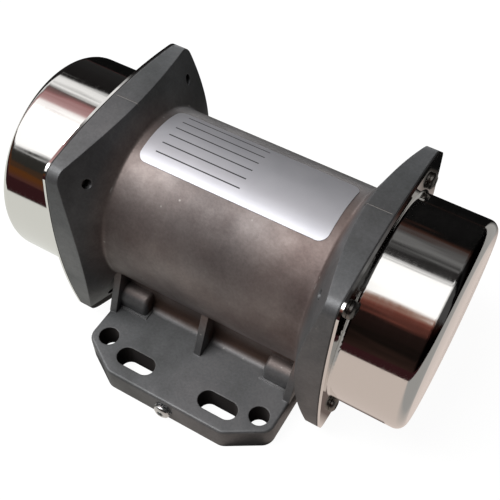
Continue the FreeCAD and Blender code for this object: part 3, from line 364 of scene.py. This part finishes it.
finishOf = {  # start of a CAD node's name: its finish
    "housing": "cast", "stator_core": "lamination", "stator_windings": "winding", "shaft": "ground",
    "rotor_core": "lamination", "rotor_end_rings": "turned", "gland_body": "gland", "gland_nut": "gland",
    "gland_seal": "rubber", "earth_screw": "screw", "earth_washer": "zinc", "rating_label": "foil",
    "bearing_shield": "turned", "shield_screws": "zinc", "bearing_outer_ring": "bearing",
    "bearing_inner_ring": "bearing", "bearing_balls": "bearing", "bearing_cage": "cage",
    "bearing_seals": "rubber", "fixed_weight": "weight", "weight_key": "zinc",
    "adjustable_weight": "weight", "clamp_screw": "screw", "spacer_bush": "zinc", "weight_shim": "zinc",
    "weight_washer": "zinc", "retaining_ring": "spring", "cover_gasket": "rubber", "end_cover": "cover",
    "cover_screws": "screw",
}
for name, node in nodes.items():
    key = max((start for start in finishOf if name.startswith(start)), key=len)
    node.data.materials.clear()
    node.data.materials.append(finishes[finishOf[key]])
print("materials set")


# housing and covers: the CAD shapes with their curved faces shaded smooth

sharpAngle = math.radians(28)  # an edge that turns by more stays crisp
seamGap = 0.002 * mm  # corners nearer than this are one


def smoothCopy(node, name):
    mesh = nodes[node].data.copy()
    piece = bpy.data.objects.new(name, mesh)
    bpy.context.scene.collection.objects.link(piece)
    shape = bmesh.new()
    shape.from_mesh(mesh)
    bmesh.ops.remove_doubles(shape, verts=shape.verts, dist=seamGap)
    for face in shape.faces:
        face.smooth = True
    for edge in shape.edges:
        edge.smooth = len(edge.link_faces) == 2 and edge.calc_face_angle(0) < sharpAngle
    shape.to_mesh(mesh)
    shape.free()
    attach(piece, "frame")
    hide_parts(node)
    return piece


housing = smoothCopy("housing", "housingCasting")
for side in ("left", "right"):
    smoothCopy(f"end_cover_{side}", f"endCover_{side}")
print("housing and covers dressed")


# screws: one is turned as a mesh, and a node tree sets four of it round the shaft

def turnedScrew(name, look):
    # Pan head along +X with a hexagon socket, shank along -X, closed at both ends.
    head, rise = look["head"] * mm, look["rise"] * mm
    socket, depth = look["socket"] * mm, look["socketDepth"] * mm
    shank, length = look["shank"] * mm, look["length"] * mm
    chamfer, tipLength, tipTaper = 0.12 * mm, 0.5 * mm, 0.4 * mm
    domeShare = 0.62  # of the head's height
    rows = [(rise - depth, socket, True), (rise - chamfer, socket, True), (rise, socket * 1.22, False)]
    for turn in (45, 60, 72, 82, 90):
        angle = math.radians(turn)
        dome = domeShare * math.cos(angle) / math.cos(math.radians(30))
        rows.append((rise * (1 - domeShare + dome), head * math.sin(angle), False))
    rows += [(chamfer, head, False), (0.0, head - chamfer, False), (0.0, shank, False),
             (tipLength - length, shank, False), (-length, shank - tipTaper, False)]
    count = look["sides"]
    shape = bmesh.new()
    rings = []
    for along, radius, sixSided in rows:
        ring = []
        for step in range(count):
            angle = math.tau * step / count
            reach = radius
            if sixSided:
                reach = radius * math.cos(math.pi / 6) / math.cos(angle % (math.pi / 3) - math.pi / 6)
            ring.append(shape.verts.new((along, reach * math.cos(angle), reach * math.sin(angle))))
        rings.append(ring)
    for first, second in zip(rings, rings[1:]):
        for step in range(count):
            after = (step + 1) % count
            shape.faces.new((first[step], first[after], second[after], second[step]))
    shape.faces.new(list(reversed(rings[0])))
    shape.faces.new(rings[-1])
    bmesh.ops.recalc_face_normals(shape, faces=shape.faces)
    for face in shape.faces:
        face.smooth = True
    for edge in shape.edges:
        edge.smooth = edge.calc_face_angle(0) < math.radians(look["sharp"])
    mesh = bpy.data.meshes.new(name)
    shape.to_mesh(mesh)
    shape.free()
    piece = bpy.data.objects.new(name, mesh)
    bpy.context.scene.collection.objects.link(piece)
    return piece


def nodeTree(name, inputs):  # returns the tree, its input node and each input's identifier
    tree = bpy.data.node_groups.new(name, "GeometryNodeTree")
    tree.interface.new_socket("Geometry", in_out="OUTPUT", socket_type="NodeSocketGeometry")
    tree.interface.new_socket("Geometry", in_out="INPUT", socket_type="NodeSocketGeometry")
    keys = {label: tree.interface.new_socket(label, in_out="INPUT", socket_type=kind).identifier
            for label, kind in inputs}
    return tree, tree.nodes.new("NodeGroupInput"), keys


def endTree(tree, geometry, material):
    real = addNode(tree, "GeometryNodeRealizeInstances", {"Geometry": geometry})
    dressed = addNode(tree, "GeometryNodeSetMaterial", {"Geometry": real.outputs[0], "Material": material})
    addNode(tree, "NodeGroupOutput", {"Geometry": dressed.outputs[0]})


def settle(piece, tree, keys, values):  # runs the tree and leaves its result as a plain mesh
    modifier = piece.modifiers.new(tree.name, "NODES")
    modifier.node_group = tree
    for label, value in values.items():
        modifier[keys[label]] = value
    piece.update_tag()
    evaluated = piece.evaluated_get(bpy.context.evaluated_depsgraph_get())
    mesh = bpy.data.meshes.new_from_object(evaluated)
    piece.modifiers.remove(modifier)
    piece.data = mesh
    mesh.name = piece.name


def fourCornersTree():
    tree, given, keys = nodeTree("fourCorners", [
        ("Spacing", "NodeSocketFloat"), ("Place", "NodeSocketVector"), ("Facing", "NodeSocketFloat"),
        ("Seed", "NodeSocketInt"), ("Material", "NodeSocketMaterial")])
    grid = addNode(tree, "GeometryNodeMeshGrid", {"Size X": given.outputs["Spacing"],
                                                  "Size Y": given.outputs["Spacing"],
                                                  "Vertices X": 2, "Vertices Y": 2})
    upright = addNode(tree, "GeometryNodeTransform", {"Geometry": grid.outputs["Mesh"],
                                                      "Translation": given.outputs["Place"],
                                                      "Rotation": (0, math.pi / 2, 0)})
    tightened = addNode(tree, "FunctionNodeRandomValue", {"Seed": given.outputs["Seed"], 2: 0.0,
                                                          3: math.tau})
    turn = addNode(tree, "ShaderNodeCombineXYZ", {0: tightened.outputs[1], 2: given.outputs["Facing"]})
    screws = addNode(tree, "GeometryNodeInstanceOnPoints", {"Points": upright.outputs[0],
                                                            "Instance": given.outputs["Geometry"],
                                                            "Rotation": turn.outputs[0]})
    endTree(tree, screws.outputs[0], given.outputs["Material"])
    return tree, keys


# mm, sharp in degrees; head, socket and shank are radii; solidHead and solidRise are the radius and
# height of the CAD screw's head
coverScrew = {"head": 2.75, "rise": 1.8, "socket": 1.35, "socketDepth": 1.1, "shank": 1.45, "length": 7.8,
              "sides": 36, "sharp": 35, "seed": 4, "solidHead": 3.0, "solidRise": 1.9}
shieldScrew = {"head": 2.45, "rise": 1.45, "socket": 1.1, "socketDepth": 0.9, "shank": 1.45, "length": 6.6,
               "sides": 36, "sharp": 35, "seed": 9, "solidHead": 2.5, "solidRise": 1.5}
corners, cornerKeys = fourCornersTree()
for side, way in (("left", -1), ("right", 1)):
    for node, look, finish in (("cover_screws", coverScrew, "screw"),
                               ("shield_screws", shieldScrew, "zinc")):
        low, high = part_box(f"{node}_{side}")
        headTop = high[0] if way > 0 else low[0]  # the CAD head's outer face
        seat = headTop - way * look["solidRise"] * mm
        spacing = high[1] - low[1] - 2 * look["solidHead"] * mm
        piece = turnedScrew(f"{node}_{side}_turned", look)
        settle(piece, corners, cornerKeys,
               {"Spacing": spacing, "Place": (seat, 0.0, shaftHeight),
                "Facing": 0.0 if way > 0 else math.pi, "Seed": look["seed"], "Material": finishes[finish]})
        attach(piece, "frame")
        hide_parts(f"{node}_{side}")
print("screws set")


# earth screw with its toothed lock washer

def toothedTree():
    tree, given, keys = nodeTree("toothedWasher", [
        ("Teeth", "NodeSocketInt"), ("Radius", "NodeSocketFloat"), ("Place", "NodeSocketVector"),
        ("Material", "NodeSocketMaterial")])
    circle = addNode(tree, "GeometryNodeMeshCircle", {"Vertices": given.outputs["Teeth"],
                                                      "Radius": given.outputs["Radius"]})
    index = addNode(tree, "GeometryNodeInputIndex")
    share = addNode(tree, "ShaderNodeMath", {0: math.tau, 1: given.outputs["Teeth"]}, operation="DIVIDE")
    angle = addNode(tree, "ShaderNodeMath", {0: index.outputs[0], 1: share.outputs[0]},
                    operation="MULTIPLY")
    turn = addNode(tree, "ShaderNodeCombineXYZ", {2: angle.outputs[0]})
    teeth = addNode(tree, "GeometryNodeInstanceOnPoints", {"Points": circle.outputs["Mesh"],
                                                           "Instance": given.outputs["Geometry"],
                                                           "Rotation": turn.outputs[0]})
    upright = addNode(tree, "GeometryNodeTransform", {"Geometry": teeth.outputs[0],
                                                      "Translation": given.outputs["Place"],
                                                      "Rotation": (math.pi / 2, 0, 0)})
    endTree(tree, upright.outputs[0], given.outputs["Material"])
    return tree, keys


def sectorTooth(name, look):
    # One share of the washer's ring, from its bore out to a tooth twisted up on one side.
    inner, outer = look["bore"] * mm, look["outside"] * mm
    thick, twist = look["thick"] * mm, look["twist"] * mm
    share = math.tau / look["teeth"]
    shape = bmesh.new()
    middle = (inner + outer) / 2
    wide, narrow = share / 2, share * 0.30  # half angles of the ring's share and of the tooth
    plan = [(inner, -wide, 0), (inner, wide, 0), (middle, wide, 0), (middle, narrow, 0),
            (outer, narrow, twist), (outer, -narrow, -twist), (middle, -narrow, 0), (middle, -wide, 0)]
    top, bottom = [], []
    for radius, angle, lift in plan:
        x, y = radius * math.cos(angle) - middle, radius * math.sin(angle)
        top.append(shape.verts.new((x, y, thick / 2 + lift)))
        bottom.append(shape.verts.new((x, y, -thick / 2 + lift)))
    for row in ((0, 1, 2, 3, 6, 7), (3, 4, 5, 6)):
        shape.faces.new([top[i] for i in row])
        shape.faces.new([bottom[i] for i in reversed(row)])
    for i in range(8):
        j = (i + 1) % 8
        if (i, j) in ((1, 2), (7, 0)):  # joins the next share of the ring
            continue
        shape.faces.new((top[i], bottom[i], bottom[j], top[j]))
    bmesh.ops.recalc_face_normals(shape, faces=shape.faces)
    mesh = bpy.data.meshes.new(name)
    shape.to_mesh(mesh)
    shape.free()
    piece = bpy.data.objects.new(name, mesh)
    bpy.context.scene.collection.objects.link(piece)
    return piece, middle


def mergeEnds(piece, gap):  # welds shares that touch, and turns the faces outwards
    shape = bmesh.new()
    shape.from_mesh(piece.data)
    bmesh.ops.remove_doubles(shape, verts=shape.verts, dist=gap)
    bmesh.ops.recalc_face_normals(shape, faces=shape.faces)
    shape.to_mesh(piece.data)
    shape.free()


# mm; bore and outside are radii
washerLook = {"teeth": 10, "bore": 1.6, "outside": 3.3, "thick": 0.3, "twist": 0.09, "weld": 0.01}
low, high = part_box("earth_washer")
washer, middle = sectorTooth("earthWasher_toothed", washerLook)
toothed, toothedKeys = toothedTree()
settle(washer, toothed, toothedKeys,
       {"Teeth": washerLook["teeth"], "Radius": middle, "Place": tuple((low + high) / 2),
        "Material": finishes["zinc"]})
mergeEnds(washer, washerLook["weld"] * mm)
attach(washer, "frame")
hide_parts("earth_washer")

earthScrew = {"head": 2.9, "rise": 1.85, "socket": 1.3, "socketDepth": 1.1, "shank": 1.45, "length": 7.8,
              "sides": 36, "sharp": 35, "solidRise": 1.9}
low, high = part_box("earth_screw")
screw = turnedScrew("earthScrew_turned", earthScrew)
seat = low[1] + earthScrew["solidRise"] * mm
screw.data.transform(Matrix.Translation((0, seat, (low[2] + high[2]) / 2))
                     @ Matrix.Rotation(-math.pi / 2, 4, "Z"))
screw.data.materials.append(finishes["bright"])
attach(screw, "frame")
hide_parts("earth_screw")
print("earth screw set")


# the die's parting line: a low bead that follows the top of the casting

def partingTree():
    tree, given, keys = nodeTree("partingBead", [
        ("Casting", "NodeSocketObject"), ("Start", "NodeSocketVector"), ("End", "NodeSocketVector"),
        ("Radius", "NodeSocketFloat"), ("Sink", "NodeSocketFloat"), ("Material", "NodeSocketMaterial")])
    line = addNode(tree, "GeometryNodeCurvePrimitiveLine", {"Start": given.outputs["Start"],
                                                            "End": given.outputs["End"]})
    points = addNode(tree, "GeometryNodeResampleCurve", {"Curve": line.outputs[0], "Count": 60})
    casting = addNode(tree, "GeometryNodeObjectInfo", {"Object": given.outputs["Casting"]})
    drop = addNode(tree, "GeometryNodeRaycast", {"Target Geometry": casting.outputs["Geometry"],
                                                 "Ray Direction": (0, 0, -1), "Ray Length": 0.05})
    down = addNode(tree, "ShaderNodeVectorMath", {0: (0, 0, -1), "Scale": given.outputs["Sink"]},
                   operation="SCALE")
    laid = addNode(tree, "GeometryNodeSetPosition", {"Geometry": points.outputs[0],
                                                     "Position": drop.outputs["Hit Position"],
                                                     "Offset": down.outputs[0]})
    section = addNode(tree, "GeometryNodeCurvePrimitiveCircle", {"Resolution": 8,
                                                                 "Radius": given.outputs["Radius"]})
    bead = addNode(tree, "GeometryNodeCurveToMesh", {"Curve": laid.outputs[0], "Fill Caps": True,
                                                     "Profile Curve": section.outputs[0]})
    endTree(tree, bead.outputs[0], given.outputs["Material"])
    return tree, keys


beadLook = {"radius": 0.3, "sink": 0.18, "from": 38.5, "to": 46.9, "weld": 0.001}  # mm
parting, partingKeys = partingTree()
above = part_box("housing")[1][2] + 5 * mm
for side, way in (("left", -1), ("right", 1)):
    mesh = bpy.data.meshes.new(f"partingBead_{side}")
    bead = bpy.data.objects.new(f"partingBead_{side}", mesh)
    bpy.context.scene.collection.objects.link(bead)
    settle(bead, parting, partingKeys,
           {"Casting": housing, "Start": (way * beadLook["from"] * mm, 0.0, above),
            "End": (way * beadLook["to"] * mm, 0.0, above), "Radius": beadLook["radius"] * mm,
            "Sink": beadLook["sink"] * mm, "Material": finishes["bead"]})
    mergeEnds(bead, beadLook["weld"] * mm)
    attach(bead, "frame")
print("parting line set")


# studio: pale floor, a dim room with one broad window of light, two lamps, camera

# floorShare of the floor's white is its own light, and the rest of it shows the shadow
studio = {"floor": "#8d8986", "floorSeen": "#dcdcdc", "floorShare": 0.86, "floorWhite": 1.10,
          "floorHalf": 6.0, "floorDrop": 0.1 * mm, "roomLevel": 1.45, "clutter": 0.024,
          "clutterScale": 11.0, "rearFill": "#d8d4d0"}
keyLamp = {"power": 11.0, "size": (1.08, 0.48), "place": (-0.56, -0.34, 1.0), "target": (-0.56, -0.34, 0)}
rearLamp = {"power": 3.8, "size": (1.2, 0.3), "place": (-0.55, 0.9, 0.08), "target": (0, 0, shaftHeight)}
view = {"place": (0.08501, -0.14443, 0.24620), "right": (0.8684, 0.4951, 0.0280),
        "back": (0.2649, -0.5110, 0.8178), "sensor": 36, "lens": 57.42, "shift": (-0.0426, 0.0794),
        "clipStart": 0.01}
# the room from front to back over the top, at either end of the shaft
roomRight = [(0.00, "#2a1d19"), (0.08, "#100c0a"), (0.20, "#1d1311"), (0.26, "#6a3c33"), (0.29, "#8e7468"),
             (0.33, "#ffffff"), (0.51, "#ffffff"), (0.54, "#2a2929"), (0.59, "#222121"), (0.63, "#666666"),
             (0.68, "#4a4949"), (0.73, "#33201a"), (0.78, "#0b0b0b"), (1.00, "#0a0a0a")]
roomLeft = [(0.00, "#402828"), (0.06, "#4e2d12"), (0.11, "#262522"), (0.18, "#2b2a28"), (0.21, "#ffffff"),
            (0.50, "#ffffff"), (0.54, "#b19393"), (0.60, "#8a6262"), (0.64, "#46413f"), (0.68, "#e3e3e3"),
            (0.73, "#d8d8d8"), (0.77, "#151313"), (1.00, "#222222")]
# where one tone of the room passes into the next, as the direction's own X or Y
roomEdge = {"left": (-0.18, -0.48), "dark": (0.05, 0.34), "rear": (0.70, 0.90)}
# what the object mirrors of the table: beyond its near edge too, and a painted shadow below the right cup and
# below the foot
tableTone = {"right": "#b8aca5", "left": "#c4c5c0", "end": "#8f8e8c", "behind": "#0a0a0a",
             "beyond": "#2c1618", "under": "#5c514d", "footShadow": "#060606"}
edgeSlope = 0.54  # how the table's near edge slants
tablePlace = {"left": -60, "right": 30, "endFrom": 75, "endTo": 100, "behindFrom": 70, "behindTo": 100,
              "edgeFrom": -275, "edgeTo": -295, "cup": 56, "cupHalf": 10, "cupInside": 26,
              "cupOutside": 31}  # mm


def rayKinds(tree):  # two sockets: 1 for what is looked at directly, and 1 for what is mirrored
    paths = addNode(tree, "ShaderNodeLightPath")
    seen = addNode(tree, "ShaderNodeMath", {0: paths.outputs["Is Camera Ray"],
                                            1: paths.outputs["Is Transmission Ray"]}, operation="MAXIMUM")
    return seen.outputs[0], paths.outputs["Is Glossy Ray"]


def addFloor():
    mesh = bpy.data.meshes.new("floor")
    half, drop = studio["floorHalf"], -studio["floorDrop"]
    corners = [(-half, -half, drop), (half, -half, drop), (half, half, drop), (-half, half, drop)]
    mesh.from_pydata(corners, [], [(0, 1, 2, 3)])
    floor = bpy.data.objects.new("floor", mesh)
    bpy.context.scene.collection.objects.link(floor)
    material, tree, place = newMaterial("paleFloor")
    seen, mirrored = rayKinds(tree)
    parts = addNode(tree, "ShaderNodeSeparateXYZ", {"Vector": place})
    at = {name: value * mm for name, value in tablePlace.items()}
    side = addNode(tree, "ShaderNodeMapRange", {"Value": parts.outputs["X"], 1: at["left"], 2: at["right"]})
    end = addNode(tree, "ShaderNodeMapRange", {"Value": parts.outputs["X"], 1: at["endFrom"],
                                               2: at["endTo"]})
    behind = addNode(tree, "ShaderNodeMapRange", {"Value": parts.outputs["Y"], 1: at["behindFrom"],
                                                  2: at["behindTo"]})
    tone = blendColours(tree, side.outputs[0], linear(tableTone["left"]), linear(tableTone["right"]))
    tone = blendColours(tree, behind.outputs[0], tone, linear(tableTone["behind"]))
    tone = blendColours(tree, end.outputs[0], tone, linear(tableTone["end"]))
    slant = addNode(tree, "ShaderNodeMath", {0: parts.outputs["X"], 1: edgeSlope, 2: parts.outputs["Y"]},
                    operation="MULTIPLY_ADD")
    beyond = addNode(tree, "ShaderNodeMapRange", {"Value": slant.outputs[0], 1: at["edgeFrom"],
                                                  2: at["edgeTo"]})
    tone = blendColours(tree, beyond.outputs[0], tone, linear(tableTone["beyond"]))
    # painted shadow: the mirrored table is darkened below the right cup and near black below the foot
    across = addNode(tree, "ShaderNodeMath", {0: parts.outputs["Y"]}, operation="ABSOLUTE")
    cupWidth = addNode(tree, "ShaderNodeMapRange", {"Value": across.outputs[0], 1: at["cupOutside"],
                                                    2: at["cupInside"]})
    cupLength = addNode(tree, "ShaderNodeMath", {0: parts.outputs["X"], 1: at["cup"], 2: at["cupHalf"]},
                        operation="COMPARE")
    under = addNode(tree, "ShaderNodeMath", {0: cupWidth.outputs[0], 1: cupLength.outputs[0]},
                    operation="MULTIPLY")
    tone = blendColours(tree, under.outputs[0], tone, linear(tableTone["under"]))
    footLength = addNode(tree, "ShaderNodeMath", {0: parts.outputs["X"], 1: 0.0, 2: footHalf},
                         operation="COMPARE")
    footWidth = addNode(tree, "ShaderNodeMath", {0: parts.outputs["Y"], 1: 0.0, 2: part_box("housing")[1][1]},
                        operation="COMPARE")
    footShadow = addNode(tree, "ShaderNodeMath", {0: footLength.outputs[0], 1: footWidth.outputs[0]},
                      operation="MULTIPLY")
    tone = blendColours(tree, footShadow.outputs[0], tone, linear(tableTone["footShadow"]))
    lit = addNode(tree, "ShaderNodeBsdfDiffuse", {"Color": linear(studio["floor"])})
    table = addNode(tree, "ShaderNodeEmission", {"Color": tone, "Strength": studio["roomLevel"]})
    white = addNode(tree, "ShaderNodeEmission", {"Color": (1, 1, 1, 1), "Strength": studio["floorWhite"]})
    pale = addNode(tree, "ShaderNodeBsdfDiffuse", {"Color": linear(studio["floorSeen"])})
    dull = addNode(tree, "ShaderNodeMixShader", {0: mirrored, 1: lit.outputs[0], 2: table.outputs[0]})
    shown = addNode(tree, "ShaderNodeMixShader", {0: studio["floorShare"], 1: pale.outputs[0],
                                                  2: white.outputs[0]})
    mix = addNode(tree, "ShaderNodeMixShader", {0: seen, 1: dull.outputs[0], 2: shown.outputs[0]})
    addNode(tree, "ShaderNodeOutputMaterial", {"Surface": mix.outputs[0]})
    mesh.materials.append(material)


def setWorld():
    world = bpy.data.worlds.new("studio")
    bpy.context.scene.world = world
    world.use_nodes = True
    tree = world.node_tree
    tree.nodes.clear()
    seen, mirrored = rayKinds(tree)
    direction = addNode(tree, "ShaderNodeTexCoord").outputs["Generated"]
    way = addNode(tree, "ShaderNodeSeparateXYZ", {"Vector": direction})
    front = addNode(tree, "ShaderNodeMath", {0: way.outputs["Y"], 1: -1.0}, operation="MULTIPLY")
    rise = addNode(tree, "ShaderNodeMath", {0: way.outputs["Z"], 1: front.outputs[0]}, operation="ARCTAN2")
    clutter = addNode(tree, "ShaderNodeTexNoise", {"Vector": direction, "Scale": studio["clutterScale"],
                                                   "Detail": 2.0})
    uneven = addNode(tree, "ShaderNodeMapRange", {"Value": clutter.outputs["Fac"], 1: 0.3, 2: 0.7,
                                                  3: -studio["clutter"], 4: studio["clutter"]})
    turn = addNode(tree, "ShaderNodeMath", {0: rise.outputs[0], 1: 1 / math.pi, 2: uneven.outputs[0]},
                   operation="MULTIPLY_ADD")
    right = addNode(tree, "ShaderNodeValToRGB", {"Fac": turn.outputs[0]})
    setStops(right, roomRight)
    left = addNode(tree, "ShaderNodeValToRGB", {"Fac": turn.outputs[0]})
    setStops(left, roomLeft)
    side = addNode(tree, "ShaderNodeMapRange", {"Value": way.outputs["X"], 1: roomEdge["left"][0],
                                                2: roomEdge["left"][1]})
    room = blendColours(tree, side.outputs[0], right.outputs["Color"], left.outputs["Color"])
    dim = addNode(tree, "ShaderNodeMapRange", {"Value": way.outputs["X"], 1: roomEdge["dark"][0],
                                               2: roomEdge["dark"][1], 3: 1.0, 4: 0.05})
    rear = addNode(tree, "ShaderNodeMapRange", {"Value": way.outputs["Y"], 1: roomEdge["rear"][0],
                                                2: roomEdge["rear"][1]})
    matt = addNode(tree, "ShaderNodeMath", {0: 1.0, 1: mirrored}, operation="SUBTRACT")
    fill = addNode(tree, "ShaderNodeMath", {0: rear.outputs[0], 1: matt.outputs[0]}, operation="MULTIPLY")
    room = blendColours(tree, fill.outputs[0], room, linear(studio["rearFill"]))
    level = addNode(tree, "ShaderNodeMath", {0: dim.outputs[0], 1: studio["roomLevel"]},
                    operation="MULTIPLY")
    soft = addNode(tree, "ShaderNodeBackground", {"Color": room, "Strength": level.outputs[0]})
    white = addNode(tree, "ShaderNodeBackground", {"Color": (1, 1, 1, 1), "Strength": 1.0})
    mix = addNode(tree, "ShaderNodeMixShader", {0: seen, 1: soft.outputs[0], 2: white.outputs[0]})
    addNode(tree, "ShaderNodeOutputWorld", {"Surface": mix.outputs[0]})


def addSoftbox(name, look, only=()):
    light = bpy.data.lights.new(name, "AREA")
    light.shape = "RECTANGLE"
    light.size, light.size_y = look["size"]
    light.energy = look["power"]
    lamp = bpy.data.objects.new(name, light)
    bpy.context.scene.collection.objects.link(lamp)
    lamp.location = look["place"]
    aim = Vector(look["target"]) - Vector(look["place"])
    lamp.rotation_euler = aim.to_track_quat("-Z", "Y").to_euler()
    if only:  # the lamp lights these pieces and no others
        lit = bpy.data.collections.new(name)
        for piece in only:
            lit.objects.link(piece)
        lamp.light_linking.receiver_collection = lit


def addCamera():
    data = bpy.data.cameras.new("camera")
    camera = bpy.data.objects.new("camera", data)
    bpy.context.scene.collection.objects.link(camera)
    right = Vector(view["right"]).normalized()
    back = Vector(view["back"]).normalized()
    right = (right - back * right.dot(back)).normalized()
    up = back.cross(right)
    turn = Matrix((right, up, back)).transposed().to_4x4()
    camera.matrix_world = Matrix.Translation(view["place"]) @ turn
    data.sensor_width = view["sensor"]
    data.lens = view["lens"]
    data.shift_x, data.shift_y = view["shift"]
    data.clip_start = view["clipStart"]
    bpy.context.scene.camera = camera


addFloor()
setWorld()
addSoftbox("keyLight", keyLamp)
addSoftbox("rearLight", rearLamp, only=[housing])
addCamera()
bpy.context.scene.view_settings.view_transform = "Standard"
print("studio set")
